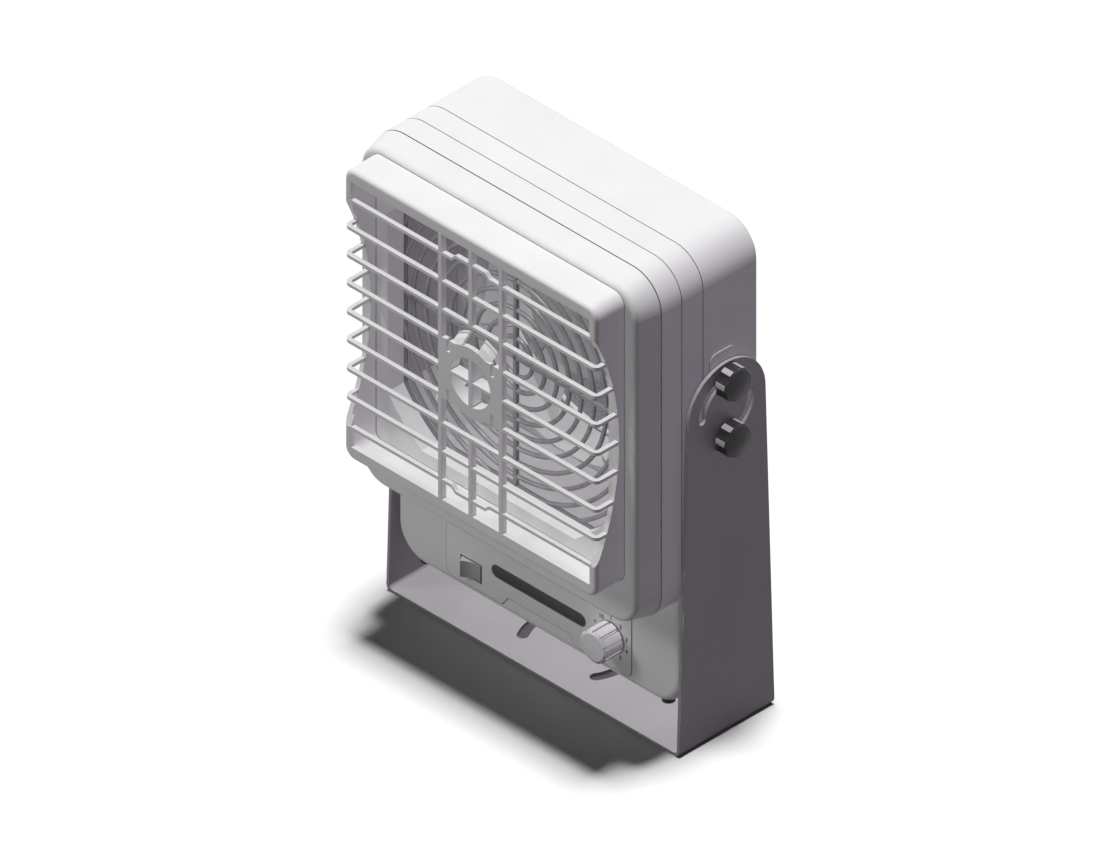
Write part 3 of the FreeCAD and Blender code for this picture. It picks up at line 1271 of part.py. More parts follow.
def socket_block(offset, y_low, y_high):
    half_width = SOCKET_WIDTH / 2 + offset
    half_height = SOCKET_HEIGHT / 2 + offset
    return block(INLET_SOCKET_X - half_width, INLET_SOCKET_X + half_width, y_low, y_high,
                 INLET_SOCKET_Z - half_height, INLET_SOCKET_Z + half_height)


def power_socket():
    """Square power and signal socket at the lower back."""
    back = REAR_FACE + SOCKET_FLANGE_THICKNESS
    front = back - SOCKET_DEPTH
    shell = socket_block(0, front, back).fuse(socket_block(SOCKET_FLANGE, REAR_FACE, back))
    cavity = socket_block(-SOCKET_WALL, front + SOCKET_WALL, back + WELD)
    return shell.cut(cavity)


def socket_pins():
    """Contact pins standing in the socket."""
    floor = REAR_FACE + SOCKET_FLANGE_THICKNESS - SOCKET_DEPTH + SOCKET_WALL
    pitch = (SOCKET_WIDTH - 2 * SOCKET_WALL) / SOCKET_PINS
    pins = []
    for index in range(SOCKET_PINS):
        x = INLET_SOCKET_X + (index - (SOCKET_PINS - 1) / 2) * pitch
        half = SOCKET_PIN_SIZE / 2
        pins.append(block(x - half, x + half, floor, floor + SOCKET_DEPTH / 2,
                          INLET_SOCKET_Z - half, INLET_SOCKET_Z + half))
    return Part.Compound(pins)


def earth_screw():
    """Frame ground terminal beside the socket."""
    return screw(CASE_SCREW_RADIUS, EARTH_SCREW_X, INLET_SOCKET_Z, REAR_FACE, REAR_WALL - SHELL_WALL)


def rubber_feet():
    """Push-in feet under the housing, shaped to its rounded underside."""
    feet = []
    for x in (-FOOT_X, FOOT_X):
        for y in (FOOT_FRONT_Y, FOOT_REAR_Y):
            pad = rod_z(FOOT_RADIUS, BODY_BOTTOM - FOOT_PROUD, BODY_BOTTOM + BODY_CORNER / 2, x, y)
            pad = pad.cut(body_block(0, y - 2 * FOOT_RADIUS, y + 2 * FOOT_RADIUS))
            stem = rod_z(FOOT_STEM_RADIUS, BODY_BOTTOM - FOOT_PROUD / 2,
                         BODY_BOTTOM + SHELL_WALL + WELD, x, y)
            feet.append(pad.fuse(stem))
    return Part.Compound(feet)


def threaded_inserts(side_wanted):
    """Flanged brass inserts for the tilt-lock studs of one side."""
    inserts = []
    for _, side, _, z in stud_places():
        if side != side_wanted:
            continue
        spans = [
            (INSERT_RADIUS, BODY_HALF - SHELL_WALL - INSERT_LENGTH, PAD_FACE - INSERT_FLANGE),
            (INSERT_RADIUS + INSERT_FLANGE_WALL, PAD_FACE - INSERT_FLANGE, PAD_FACE),
        ]
        bodies = []
        for radius, near, far in spans:
            low, high = sorted((side * near, side * far))
            bodies.append(ring_x(radius, STUD_RADIUS + THREAD_CLEARANCE, low, high, 0, z))
        inserts.append(fuse_all(bodies))
    return Part.Compound(inserts)


def clamp_knob(side, z):
    """Fluted thumb knob with a collar towards the arm."""
    seat = ARM_OUTER + ARM_CLEARANCE
    face = ARM_OUTER + CLAMP_KNOB_LENGTH
    body = rod_x(CLAMP_KNOB_RADIUS, seat + CLAMP_COLLAR_LENGTH, face, 0, z)
    body = body.makeChamfer(CLAMP_KNOB_EDGE, edges_at_x(body, face))
    cuts = []
    reach = CLAMP_KNOB_RADIUS + CLAMP_FLUTE_RADIUS - CLAMP_FLUTE_DEPTH
    for index in range(CLAMP_FLUTES):
        angle = 2 * math.pi * index / CLAMP_FLUTES
        cuts.append(rod_x(CLAMP_FLUTE_RADIUS, seat, face + WELD, reach * math.cos(angle),
                          z + reach * math.sin(angle)))
    knob = cut_all(body, cuts)
    collar = rod_x(CLAMP_COLLAR_RADIUS, seat, seat + CLAMP_COLLAR_LENGTH + WELD, 0, z)
    knob = knob.fuse(collar).cut(rod_x(STUD_RADIUS, seat, seat + CLAMP_STUD_SEAT, 0, z))
    return knob if side > 0 else mirrored_x(knob)


def edges_at_x(shape, x):
    found = []
    for edge in shape.Edges:
        box = edge.BoundBox
        if abs(box.XMin - x) < 1e-4 and abs(box.XMax - x) < 1e-4:
            found.append(edge)
    return found


def clamp_stud(side, z):
    """Steel stud from inside the knob, through the arm, into the insert."""
    far = ARM_OUTER + ARM_CLEARANCE + CLAMP_STUD_SEAT
    stud = rod_x(STUD_RADIUS, PAD_FACE - STUD_REACH, far, 0, z)
    return stud if side > 0 else mirrored_x(stud)


def export(node, shape):
    shape.exportStep(os.path.join("parts", node + ".step"))


def main():
    os.makedirs("parts", exist_ok=True)
    export("stand_bracket", stand_bracket())
    export("rear_case", rear_case())
    export("front_case", front_case())
    export("front_cover", front_cover())
    export("louvre", louvre())
    export("finger_guard", finger_guard())
    export("air_duct", air_duct())
    export("emitter_holders", emitter_holders())
    export("emitter_needles", emitter_needles())
    export("fan_frame", fan_frame())
    export("fan_bearings", fan_bearings())
    export("fan_stator", fan_stator())
    export("impeller", impeller())
    export("impeller_shaft", impeller_shaft())
    export("fan_screws", fan_screws())
    export("case_screws", case_screws())
    export("inlet_grille", inlet_grille())
    export("inlet_filter", inlet_filter())
    export("panel_overlay", panel_overlay())
    export("indicator_window", indicator_window())
    export("indicator_leds", indicator_leds())
    export("rocker_housing", rocker_housing())
    export("power_rocker", power_rocker())
    export("airflow_knob", airflow_knob())
    export("dial_shaft", dial_shaft())
    export("potentiometer", potentiometer())
    export("control_board", control_board())
    export("high_voltage_module", high_voltage_module())
    export("power_socket", power_socket())
    export("socket_pins", socket_pins())
    export("earth_screw", earth_screw())
    export("rubber_feet", rubber_feet())
    export("threaded_inserts_left", threaded_inserts(-1))
    export("threaded_inserts_right", threaded_inserts(1))
    for side_name, side, level_name, z in stud_places():
        place = side_name + "_" + level_name
        export("clamp_knob_" + place, clamp_knob(side, z))
        export("clamp_stud_" + place, clamp_stud(side, z))


main()
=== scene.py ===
import json
import math

import bmesh
import bpy
from mathutils import Matrix, Vector


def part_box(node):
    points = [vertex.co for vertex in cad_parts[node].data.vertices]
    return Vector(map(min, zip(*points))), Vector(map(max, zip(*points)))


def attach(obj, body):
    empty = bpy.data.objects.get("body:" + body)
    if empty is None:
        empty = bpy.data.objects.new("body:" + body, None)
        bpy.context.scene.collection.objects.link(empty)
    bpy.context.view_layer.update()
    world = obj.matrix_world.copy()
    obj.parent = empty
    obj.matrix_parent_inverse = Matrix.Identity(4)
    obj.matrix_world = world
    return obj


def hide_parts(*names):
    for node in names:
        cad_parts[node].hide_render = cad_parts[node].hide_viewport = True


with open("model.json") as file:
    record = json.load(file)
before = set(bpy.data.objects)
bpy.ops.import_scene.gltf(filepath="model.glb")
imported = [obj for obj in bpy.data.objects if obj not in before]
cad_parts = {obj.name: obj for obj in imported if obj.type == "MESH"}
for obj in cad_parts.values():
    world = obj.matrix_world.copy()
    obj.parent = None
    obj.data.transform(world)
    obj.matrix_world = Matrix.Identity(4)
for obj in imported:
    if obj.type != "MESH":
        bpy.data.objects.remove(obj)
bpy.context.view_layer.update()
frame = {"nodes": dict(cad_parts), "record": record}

# Everything is in metres, in the same frame as the solids: +X right, +Y back, +Z up.
MM = 0.001

# Camera: a true isometric parallel view
VIEW_AZIMUTH = 45.0
VIEW_ELEVATION = 35.264
VIEW_WIDTH = 0.5732
VIEW_CENTRE = Vector((0.0068, -0.0292, 0.1595))
VIEW_DISTANCE = 3.0

# Lamps: name, level, azimuth and elevation of the lamp, spread in degrees, colour, what it lights,
# and what throws its shadow. Level 1 lights a surface that faces the lamp to white. The floor has a
# lamp of its own, so that the shadow under the object stays dark while soft fills open the hollows.
LAMPS = (
    ("top_key", 0.28, 0.0, 90.0, 9.0, (1, 1, 1), "object", "all"),
    ("top_fill", 0.56, 0.0, 90.0, 9.0, (1, 1, 1), "object", "floor"),
    ("stand_fill", 0.50, 0.0, 90.0, 9.0, (1, 1, 1), "stand", "floor"),
    ("floor_light", 1.55, 0.0, 90.0, 9.0, (1, 1, 1), "floor", "all"),
    ("front_key", 0.21, -42.0, 34.0, 20.0, (1, 1, 1), "object", "all"),
    ("front_fill", 0.16, -38.0, 20.0, 40.0, (1, 1, 1), "object", "floor"),
    ("side_fill", 0.13, 138.0, 10.0, 40.0, (1.0, 0.72, 1.08), "object", "floor"),
    ("back_fill", 0.10, 200.0, 36.0, 40.0, (1, 0.96, 1), "object", "floor"),
)
SKY_COLOUR = (1.0, 0.9, 1.0)
SKY_LEVEL = 0.03
FLOOR_SEEN = 0.65
FLOOR_BOUNCE = 0.07
FLOOR_HALF = 4.0
FLOOR_DROP = 0.00012

# Sizes that the solids have too
AIR_AXIS = Vector((0, 0, 0.2087))
GUARD_WIRE = 2.7 * MM
GUARD_FIRST_RADIUS = 12.0 * MM
GUARD_PITCH = 9.1 * MM
GUARD_RINGS = 10
GUARD_DUCT_HALF = 81.4 * MM
GUARD_ROUND_RADIUS = 99.0 * MM
GUARD_FRAME_WALL = 2.0 * MM
DIAL_CENTRE = Vector((0.0532, 0, 0.0481))
DIAL_RADIUS = 9.8 * MM

# Guard in round wire: wire and rods stay just inside the plain guard, as shares of its wire's radius
RING_SHARE = 0.98
ROD_SHARE = 0.96
ROD_EDGE_SHARE = 0.3
RING_SEGMENTS = 96
LEAST_ARC_SEGMENTS = 8
GUARD_FRAME_EDGE = 0.4 * MM
BEAD_WIDTH_SHARE = 1.15
BEAD_DEPTH_SHARE = 0.8

# Numbers round the dial; a font's size is this many times the height of its figures
NUMBERS = 10
NUMBER_ORBIT = 12.1 * MM
NUMBER_HEIGHT = 2.7 * MM
NUMBER_PROUD = 0.02 * MM
NUMBER_WEIGHT = 0.10 * MM
FONT_SIZE_SHARE = 1.35

# Dial knob: ten grooves in line with the numbers, where the solid has fourteen plain ones. Steps are
# the points round one groove and its land; land is a share of that pitch.
DIAL_GROOVES = 10
DIAL_STEPS = 40
DIAL_LAND = 0.75
DIAL_GROOVE_DEPTH = 0.7 * MM
DIAL_BORE_SHARE = 0.55
DIAL_FACE_DROP = 0.12 * MM
DIAL_DOME_STEPS = 6

# Clamp knobs: seven lobes and a domed face, where the solids have ten flutes on a smaller radius.
# Land steps are how many of a lobe's steps its land takes, whose pale colour is a painted highlight.
CLAMP_LOBES = 7
CLAMP_STEPS = 28
CLAMP_LAND_STEPS = 10
CLAMP_RADIUS = 10.0 * MM
CLAMP_FACE_RADIUS = 9.2 * MM
CLAMP_HOLLOW_DEPTH = 1.1 * MM
CLAMP_BORE_SHARE = 0.6
CLAMP_SHOULDER_DROP = 1.9 * MM
CLAMP_RIM_DROP = 1.1 * MM
CLAMP_LAND_BAND = 3

# Where the masks of marked edges and of painted shade in narrow joints begin and end
EDGE_RANGE = (0.82, 0.985)
CREVICE_RANGE = (0.50, 0.82)
CREVICE_REACH = 0.9 * MM
# How dark the painted shade in narrow joints makes a colour
JOINT_SHADE = 0.06
COAT_ROUGHNESS = 0.2

# Edges sharper than this, in degrees, stay sharp on round pieces
SHARP_ANGLE = 32.0


def solid_material(name):
    material = bpy.data.materials.new(name)
    material.use_nodes = True
    tree = material.node_tree
    return material, tree, tree.nodes["Principled BSDF"]


def node(tree, kind, **values):
    made = tree.nodes.new(kind)
    for key, value in values.items():
        setattr(made, key, value)
    return made


def set_inputs(made, values):
    for key, value in values.items():
        made.inputs[key].default_value = value


def link(tree, output, target):
    tree.links.new(output, target)


def object_place(tree, stretch=(1, 1, 1)):
    """Object coordinates, which stay on a piece when it moves."""
    place = node(tree, "ShaderNodeTexCoord")
    mapping = node(tree, "ShaderNodeMapping")
    mapping.inputs["Scale"].default_value = stretch
    link(tree, place.outputs["Object"], mapping.inputs["Vector"])
    return mapping.outputs["Vector"]


def noise(tree, place, size, detail=2.0, roughness=0.5):
    """Noise whose features are about size metres across."""
    made = node(tree, "ShaderNodeTexNoise")
    set_inputs(made, {"Scale": 1 / size, "Detail": detail, "Roughness": roughness})
    link(tree, place, made.inputs["Vector"])
    return made.outputs["Fac"]


def spread(tree, value, low, high, start=0.3, stop=0.7):
    """Maps the usual range of a noise on to low to high."""
    made = node(tree, "ShaderNodeMapRange")
    set_inputs(made, {"From Min": start, "From Max": stop, "To Min": low, "To Max": high})
    link(tree, value, made.inputs["Value"])
    return made.outputs["Result"]


def arithmetic(tree, operation, first, second):
    made = node(tree, "ShaderNodeMath", operation=operation)
    for index, value in enumerate((first, second)):
        if isinstance(value, (int, float)):
            made.inputs[index].default_value = value
        else:
            link(tree, value, made.inputs[index])
    return made.outputs["Value"]


def blend_colours(tree, share, first, second):
    made = node(tree, "ShaderNodeMix", data_type="RGBA")
    link(tree, share, made.inputs[0])
    for index, value in ((6, first), (7, second)):
        if isinstance(value, tuple):
            made.inputs[index].default_value = (*value, 1)
        else:
            link(tree, value, made.inputs[index])
    return made.outputs[2]


def scaled(colour, factor):
    return tuple(min(1.0, part * factor) for part in colour)


def bump(tree, height, distance, normal=None):
    made = node(tree, "ShaderNodeBump")
    made.inputs["Distance"].default_value = distance
    link(tree, height, made.inputs["Height"])
    if normal is not None:
        link(tree, normal, made.inputs["Normal"])
    return made.outputs["Normal"]


def soft_edges(tree, radius):
    """Normals that round a sharp edge off by radius."""
    made = node(tree, "ShaderNodeBevel", samples=6)
    made.inputs["Radius"].default_value = radius
    return made.outputs["Normal"]


def edge_mask(tree, radius, breakup):
    """Near 1 along sharp edges, broken up by a noise."""
    wide = soft_edges(tree, radius)
    geometry = node(tree, "ShaderNodeNewGeometry")
    facing = node(tree, "ShaderNodeVectorMath", operation="DOT_PRODUCT")
    link(tree, wide, facing.inputs[0])
    link(tree, geometry.outputs["Normal"], facing.inputs[1])
    sharp = spread(tree, facing.outputs["Value"], 1.0, 0.0, *EDGE_RANGE)
    return arithmetic(tree, "MULTIPLY", sharp, breakup)


def crevice_mask(tree, reach):
    """Near 1 deep in a narrow joint, 0 on open faces: ambient occlusion that places painted shade."""
    made = node(tree, "ShaderNodeAmbientOcclusion", samples=8, only_local=False)
    made.inputs["Distance"].default_value = reach
    return spread(tree, made.outputs["AO"], 1.0, 0.0, *CREVICE_RANGE)


def plastic(name, colour, roughness=0.5, grain=0.45, grain_depth=0.012, mottle=0.03, edge=0.3,
            edge_light=1.12, specular=0.5, coat=0.0, crevice_shade=0.0, edge_marks=(0.15, 0.75), mark_width=2.2):
    """Moulded plastic: spark-eroded grain, faint mottling, softened edges that are lighter as wear and a
    painted highlight, and on some plastics darker as a painted line of shade.

    crevice_shade is how dark the painted shade in narrow joints is, edge_marks is how much of an edge
    is marked, and mark_width is how wide the marked edge is, in times the softened edge."""
    material, tree, shader = solid_material(name)
    place = object_place(tree)
    cloud = noise(tree, place, 38 * MM, 4.0, 0.6)
    handled = noise(tree, place, 7 * MM, 5.0, 0.62)
    fine = noise(tree, place, grain * MM, 2.5, 0.6)
    tint = blend_colours(tree, spread(tree, cloud, 0, 1),
                         scaled(colour, 1 - mottle), scaled(colour, 1 + mottle))
    # Edge colour: lighter edges are wear and a painted highlight; darker edges, marked all along, are a
    # painted line of shade
    edge_wear_and_light = edge_mask(tree, mark_width * edge * MM, spread(tree, handled, *edge_marks))
    final = blend_colours(tree, edge_wear_and_light, tint, scaled(colour, edge_light))
    # Painted shade: narrow joints found by ambient occlusion are darkened towards black
    if crevice_shade:
        joint_shade = arithmetic(tree, "MULTIPLY", crevice_mask(tree, CREVICE_REACH), crevice_shade)
        final = blend_colours(tree, joint_shade, final, scaled(colour, JOINT_SHADE))
    link(tree, final, shader.inputs["Base Color"])
    smear = arithmetic(tree, "MULTIPLY", spread(tree, handled, 0.88, 1.12), spread(tree, fine, 0.94, 1.06))
    link(tree, arithmetic(tree, "MULTIPLY", smear, roughness), shader.inputs["Roughness"])
    shader.inputs["Specular IOR Level"].default_value = specular
    shader.inputs["Coat Weight"].default_value = coat
    shader.inputs["Coat Roughness"].default_value = COAT_ROUGHNESS
    normal = bump(tree, fine, grain_depth * MM, soft_edges(tree, edge * MM))
    link(tree, normal, shader.inputs["Normal"])
    return material


def powder_coat(name, colour, bare):
    """Powder-coated sheet: orange peel, a few fine specks and edges where the coat has gone, down to the
    bare metal.
    """
    material, tree, shader = solid_material(name)
    place = object_place(tree)
    peel = noise(tree, place, 1.1 * MM, 3.0, 0.55)
    cloud = noise(tree, place, 55 * MM, 4.0, 0.6)
    specks = noise(tree, place, 0.5 * MM, 1.0, 0.4)
    scuffs = noise(tree, object_place(tree, (1, 1, 0.12)), 3 * MM, 6.0, 0.7)
    tint = blend_colours(tree, spread(tree, cloud, 0, 1), scaled(colour, 0.95), scaled(colour, 1.05))
    tint = blend_colours(tree, spread(tree, specks, 0, 0.35, 0.62, 0.75), tint, scaled(colour, 1.35))
    edge_marks = edge_mask(tree, 0.5 * MM, spread(tree, scuffs, 0, 1, 0.52, 0.62))
    link(tree, blend_colours(tree, edge_marks, tint, bare), shader.inputs["Base Color"])
    link(tree, edge_marks, shader.inputs["Metallic"])
    shine = arithmetic(tree, "ADD", spread(tree, scuffs, -0.05, 0.06), spread(tree, peel, 0.40, 0.50))
    link(tree, shine, shader.inputs["Roughness"])
    shader.inputs["Specular IOR Level"].default_value = 0.3
    height = arithmetic(tree, "ADD", peel, arithmetic(tree, "MULTIPLY", specks, 0.25))
    link(tree, bump(tree, height, 0.03 * MM, soft_edges(tree, 0.3 * MM)), shader.inputs["Normal"])
    return material


def metal(name, colour, roughness=0.3, streak=(1, 1, 1), streak_size=0.6, depth=0.006, metallic=1.0,
          tarnish=0.75):
    """Metal with drawing or turning marks and patches of dull tarnish."""
    material, tree, shader = solid_material(name)
    marks = noise(tree, object_place(tree, streak), streak_size * MM, 4.0, 0.7)
    patches = noise(tree, object_place(tree), 9 * MM, 5.0, 0.65)
    tint = blend_colours(tree, spread(tree, patches, 0, 1, 0.45, 0.7), colour, scaled(colour, tarnish))
    link(tree, tint, shader.inputs["Base Color"])
    shader.inputs["Metallic"].default_value = metallic
    dull = arithmetic(tree, "ADD", spread(tree, marks, -0.06, 0.06),
                      spread(tree, patches, 0.0, 0.14, 0.4, 0.7))
    link(tree, arithmetic(tree, "ADD", dull, roughness), shader.inputs["Roughness"])
    link(tree, bump(tree, marks, depth * MM, soft_edges(tree, 0.2 * MM)), shader.inputs["Normal"])
    return material


def foam(name, colour):
    """Open-cell foam: round pores whose floors are darkened with painted shade."""
    material, tree, shader = solid_material(name)
    place = object_place(tree)
    cells = node(tree, "ShaderNodeTexVoronoi", feature="SMOOTH_F1")
    set_inputs(cells, {"Scale": 1 / (1.1 * MM), "Smoothness": 0.4})
    link(tree, place, cells.inputs["Vector"])
    pores = cells.outputs["Distance"]
    # Painted shade: darker towards the middle of each pore
    tint = blend_colours(tree, spread(tree, pores, 0, 1, 0.1, 0.6), scaled(colour, 0.7), scaled(colour, 1.2))
    link(tree, tint, shader.inputs["Base Color"])
    shader.inputs["Roughness"].default_value = 0.95
    shader.inputs["Specular IOR Level"].default_value = 0.1
    link(tree, bump(tree, pores, 0.5 * MM), shader.inputs["Normal"])
    return material


def board(name, mask, copper):
    """Circuit board: solder mask with faint tracks under it."""
    material, tree, shader = solid_material(name)
    place = object_place(tree, (1, 0, 1))
    tracks = node(tree, "ShaderNodeTexBrick")
    tracks.offset = 0.37
    set_inputs(tracks, {"Scale": 1 / (9 * MM), "Mortar Size": 0.05, "Bias": 0.0})
    link(tree, place, tracks.inputs["Vector"])
    grain = noise(tree, place, 4 * MM, 3.0)
    base = blend_colours(tree, spread(tree, grain, 0, 1), scaled(mask, 0.9), scaled(mask, 1.1))
    link(tree, blend_colours(tree, tracks.outputs["Fac"], base, copper), shader.inputs["Base Color"])
    link(tree, spread(tree, grain, 0.25, 0.35), shader.inputs["Roughness"])
    link(tree, bump(tree, tracks.outputs["Fac"], 0.03 * MM, soft_edges(tree, 0.2 * MM)),
         shader.inputs["Normal"])
    return material


def seen_rays(tree):
    """1 for rays that show a thing to the camera, straight or in a reflection, else 0."""
    rays = node(tree, "ShaderNodeLightPath")
    seen = arithmetic(tree, "MAXIMUM", rays.outputs["Is Camera Ray"], rays.outputs["Is Glossy Ray"])
    return arithmetic(tree, "MAXIMUM", seen, rays.outputs["Is Transmission Ray"])


def floor_material():
    """Pale floor that keeps the shadow; it returns less light to the object than the camera sees."""
    material, tree, shader = solid_material("studio_floor")
    seen = seen_rays(tree)
    cloud = noise(tree, object_place(tree), 400 * MM, 2.0)
    pale = blend_colours(tree, spread(tree, cloud, 0, 1), (FLOOR_SEEN,) * 3, (FLOOR_SEEN + 0.01,) * 3)
    link(tree, blend_colours(tree, seen, (FLOOR_BOUNCE,) * 3, pale), shader.inputs["Base Color"])
    shader.inputs["Roughness"].default_value = 0.9
    shader.inputs["Specular IOR Level"].default_value = 0.0
    return material


# Edges with edge_light above 1 are lighter as wear and a painted highlight; below 1 they carry a painted
# line of shade
MATERIALS = {
    "shell_plastic": plastic("shell_plastic", (0.80, 0.80, 0.80), 0.50, edge_light=1.08,
                             specular=0.25, crevice_shade=0.9),
    "stand_paint": powder_coat("stand_paint", (0.27, 0.260, 0.273), (0.55, 0.55, 0.56)),
    "guard_wire": metal("guard_wire", (0.28, 0.28, 0.29), 0.36, metallic=0.35),
    "duct_plastic": plastic("duct_plastic", (0.47, 0.45, 0.47), 0.42, grain=0.7, crevice_shade=0.8),
    "fan_plastic": plastic("fan_plastic", (0.56, 0.555, 0.565), 0.38, grain=0.8, grain_depth=0.006),
    "holder_plastic": plastic("holder_plastic", (0.85, 0.85, 0.84), 0.2, grain_depth=0.002, coat=0.3),
    "needle_metal": metal("needle_metal", (0.50, 0.50, 0.52), 0.22),
    "steel_parts": metal("steel_parts", (0.62, 0.62, 0.64), 0.26),
    "bearing_steel": metal("bearing_steel", (0.75, 0.75, 0.76), 0.12, depth=0.002),
    "stator_iron": metal("stator_iron", (0.30, 0.20, 0.14), 0.45, (1, 18, 1), metallic=0.7),
    "brass_inserts": metal("brass_inserts", (0.62, 0.52, 0.34), 0.30),
    "overlay_film": plastic("overlay_film", (0.77, 0.77, 0.77), 0.33, grain=0.25, grain_depth=0.004,
                            edge=0.2, edge_light=0.10, edge_marks=(0.95, 1.0), mark_width=4.5, crevice_shade=0.8),
    "window_tint": plastic("window_tint", (0.060, 0.060, 0.062), 0.16, grain_depth=0.001, edge=0.15,
                           edge_light=2.0, specular=0.25, coat=0.1),
    "lamp_lens": plastic("lamp_lens", (0.20, 0.55, 0.25), 0.2, grain_depth=0.002, coat=0.4),
    "switch_plastic": plastic("switch_plastic", (0.40, 0.39, 0.41), 0.26, grain=0.6, grain_depth=0.004,
                              edge_light=1.3, edge=0.2),
    "dial_plastic": plastic("dial_plastic", (0.75, 0.73, 0.77), 0.28, grain=0.5, grain_depth=0.004,
                            edge=0.15, edge_light=0.12, edge_marks=(0.95, 1.0), mark_width=4.5, coat=0.25, crevice_shade=0.9),
    "clamp_plastic": plastic("clamp_plastic", (0.042, 0.038, 0.042), 0.34, grain=0.5, grain_depth=0.008,
                             edge=0.2, edge_light=0.10, edge_marks=(0.95, 1.0), mark_width=3.5, specular=0.18),
    "foam_mat": foam("foam_mat", (0.42, 0.42, 0.42)),
    "board_laminate": board("board_laminate", (0.02, 0.16, 0.06), (0.05, 0.26, 0.10)),
    "module_resin": plastic("module_resin", (0.05, 0.05, 0.055), 0.28, grain=3.0, grain_depth=0.05),
    "socket_plastic": plastic("socket_plastic", (0.045, 0.045, 0.045), 0.4, edge_light=2.4),
    "foot_rubber": plastic("foot_rubber", (0.06, 0.06, 0.06), 0.8, grain=0.35, grain_depth=0.03,
                           edge_light=1.8, specular=0.25),
    "housing_plastic": plastic("housing_plastic", (0.05, 0.05, 0.052), 0.4, grain=0.6, grain_depth=0.004),
    "legend_ink": plastic("legend_ink", (0.03, 0.03, 0.035), 0.5, grain_depth=0.002, edge=0.05),
    # Pale lands of the clamp knobs: a painted highlight on the black lobes
    "clamp_land_sheen": plastic("clamp_land_sheen", (0.52, 0.51, 0.53), 0.34, grain=0.5, grain_depth=0.008, edge=0.2),
}

# Solids whose finish departs from that of their slot
OTHER_FINISH = {"rocker_housing": "housing_plastic"}


def dress_solids():
    """Each solid takes the material of its slot."""
    for part in frame["record"]["subparts"]:
        solid = frame["nodes"][part["node"]]
        solid.data.materials.clear()
        solid.data.materials.append(MATERIALS[OTHER_FINISH.get(part["node"], part["material_slot"])])


def make_piece(name, mesh, slot, body, material=None, smooth=True):
    piece = bpy.data.objects.new(name, mesh)
    bpy.context.scene.collection.objects.link(piece)
    mesh.materials.append(MATERIALS[material or slot])
    for face in mesh.polygons:
        face.use_smooth = smooth
    if smooth:
        mesh.set_sharp_from_angle(angle=math.radians(SHARP_ANGLE))
    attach(piece, body)
    return piece


def mesh_from(builder, name):
    mesh = bpy.data.meshes.new(name)
    builder.to_mesh(mesh)
    builder.free()
    return mesh


def from_direction(azimuth, elevation):
    """Unit vector towards a place at an azimuth, from the front towards +X, and an elevation."""
    flat = math.cos(math.radians(elevation))
    turn = math.radians(azimuth)
    return Vector((math.sin(turn) * flat, -math.cos(turn) * flat, math.sin(math.radians(elevation))))


def camera():
    data = bpy.data.cameras.new("camera")
    data.type = "ORTHO"
    data.ortho_scale = VIEW_WIDTH
    data.clip_end = 4 * VIEW_DISTANCE
    made = bpy.data.objects.new("camera", data)
    bpy.context.scene.collection.objects.link(made)
    back = from_direction(VIEW_AZIMUTH, VIEW_ELEVATION)
    made.location = VIEW_CENTRE + back * VIEW_DISTANCE
    made.rotation_mode = "QUATERNION"
    made.rotation_quaternion = (-back).to_track_quat("-Z", "Y")
    bpy.context.scene.camera = made


def light_group(name, member, state):
    """Collection that includes or leaves out one object for some of the lamps."""
    group = bpy.data.collections.new(name)
    group.objects.link(member)
    group.collection_objects[0].light_linking.link_state = state
    return group


def lamps(floor):
    groups = {
        "all": None,
        "floor": light_group("floor_only", floor, "INCLUDE"),
        "object": light_group("not_floor", floor, "EXCLUDE"),
        "stand": light_group("stand_only", frame["nodes"]["stand_bracket"], "INCLUDE"),
    }
    for name, level, azimuth, elevation, spread_angle, colour, lit, shading in LAMPS:
        data = bpy.data.lights.new(name, "SUN")
        data.energy = level * math.pi
        data.angle = math.radians(spread_angle)
        data.color = colour
        made = bpy.data.objects.new(name, data)
        bpy.context.scene.collection.objects.link(made)
        made.rotation_mode = "QUATERNION"
        made.rotation_quaternion = (-from_direction(azimuth, elevation)).to_track_quat("-Z", "Y")
        made.light_linking.receiver_collection = groups[lit]
        made.light_linking.blocker_collection = groups[shading]


def sky():
    """World that is white where it is seen and dim where it lights."""
    world = bpy.data.worlds.new("studio")
    world.use_nodes = True
    tree = world.node_tree
    background = tree.nodes["Background"]
    seen = seen_rays(tree)
    link(tree, blend_colours(tree, seen, SKY_COLOUR, (1, 1, 1)), background.inputs["Color"])
    link(tree, spread(tree, seen, SKY_LEVEL, 1, 0, 1), background.inputs["Strength"])
    return world


def studio():
    bpy.context.scene.world = sky()
    bpy.context.scene.view_settings.view_transform = "Standard"
    builder = bmesh.new()
    bmesh.ops.create_grid(builder, x_segments=4, y_segments=4, size=FLOOR_HALF)
    mesh = mesh_from(builder, "floor")
    floor = bpy.data.objects.new("floor", mesh)
    floor.location.z = -FLOOR_DROP
    mesh.materials.append(floor_material())
    bpy.context.scene.collection.objects.link(floor)
    lamps(floor)


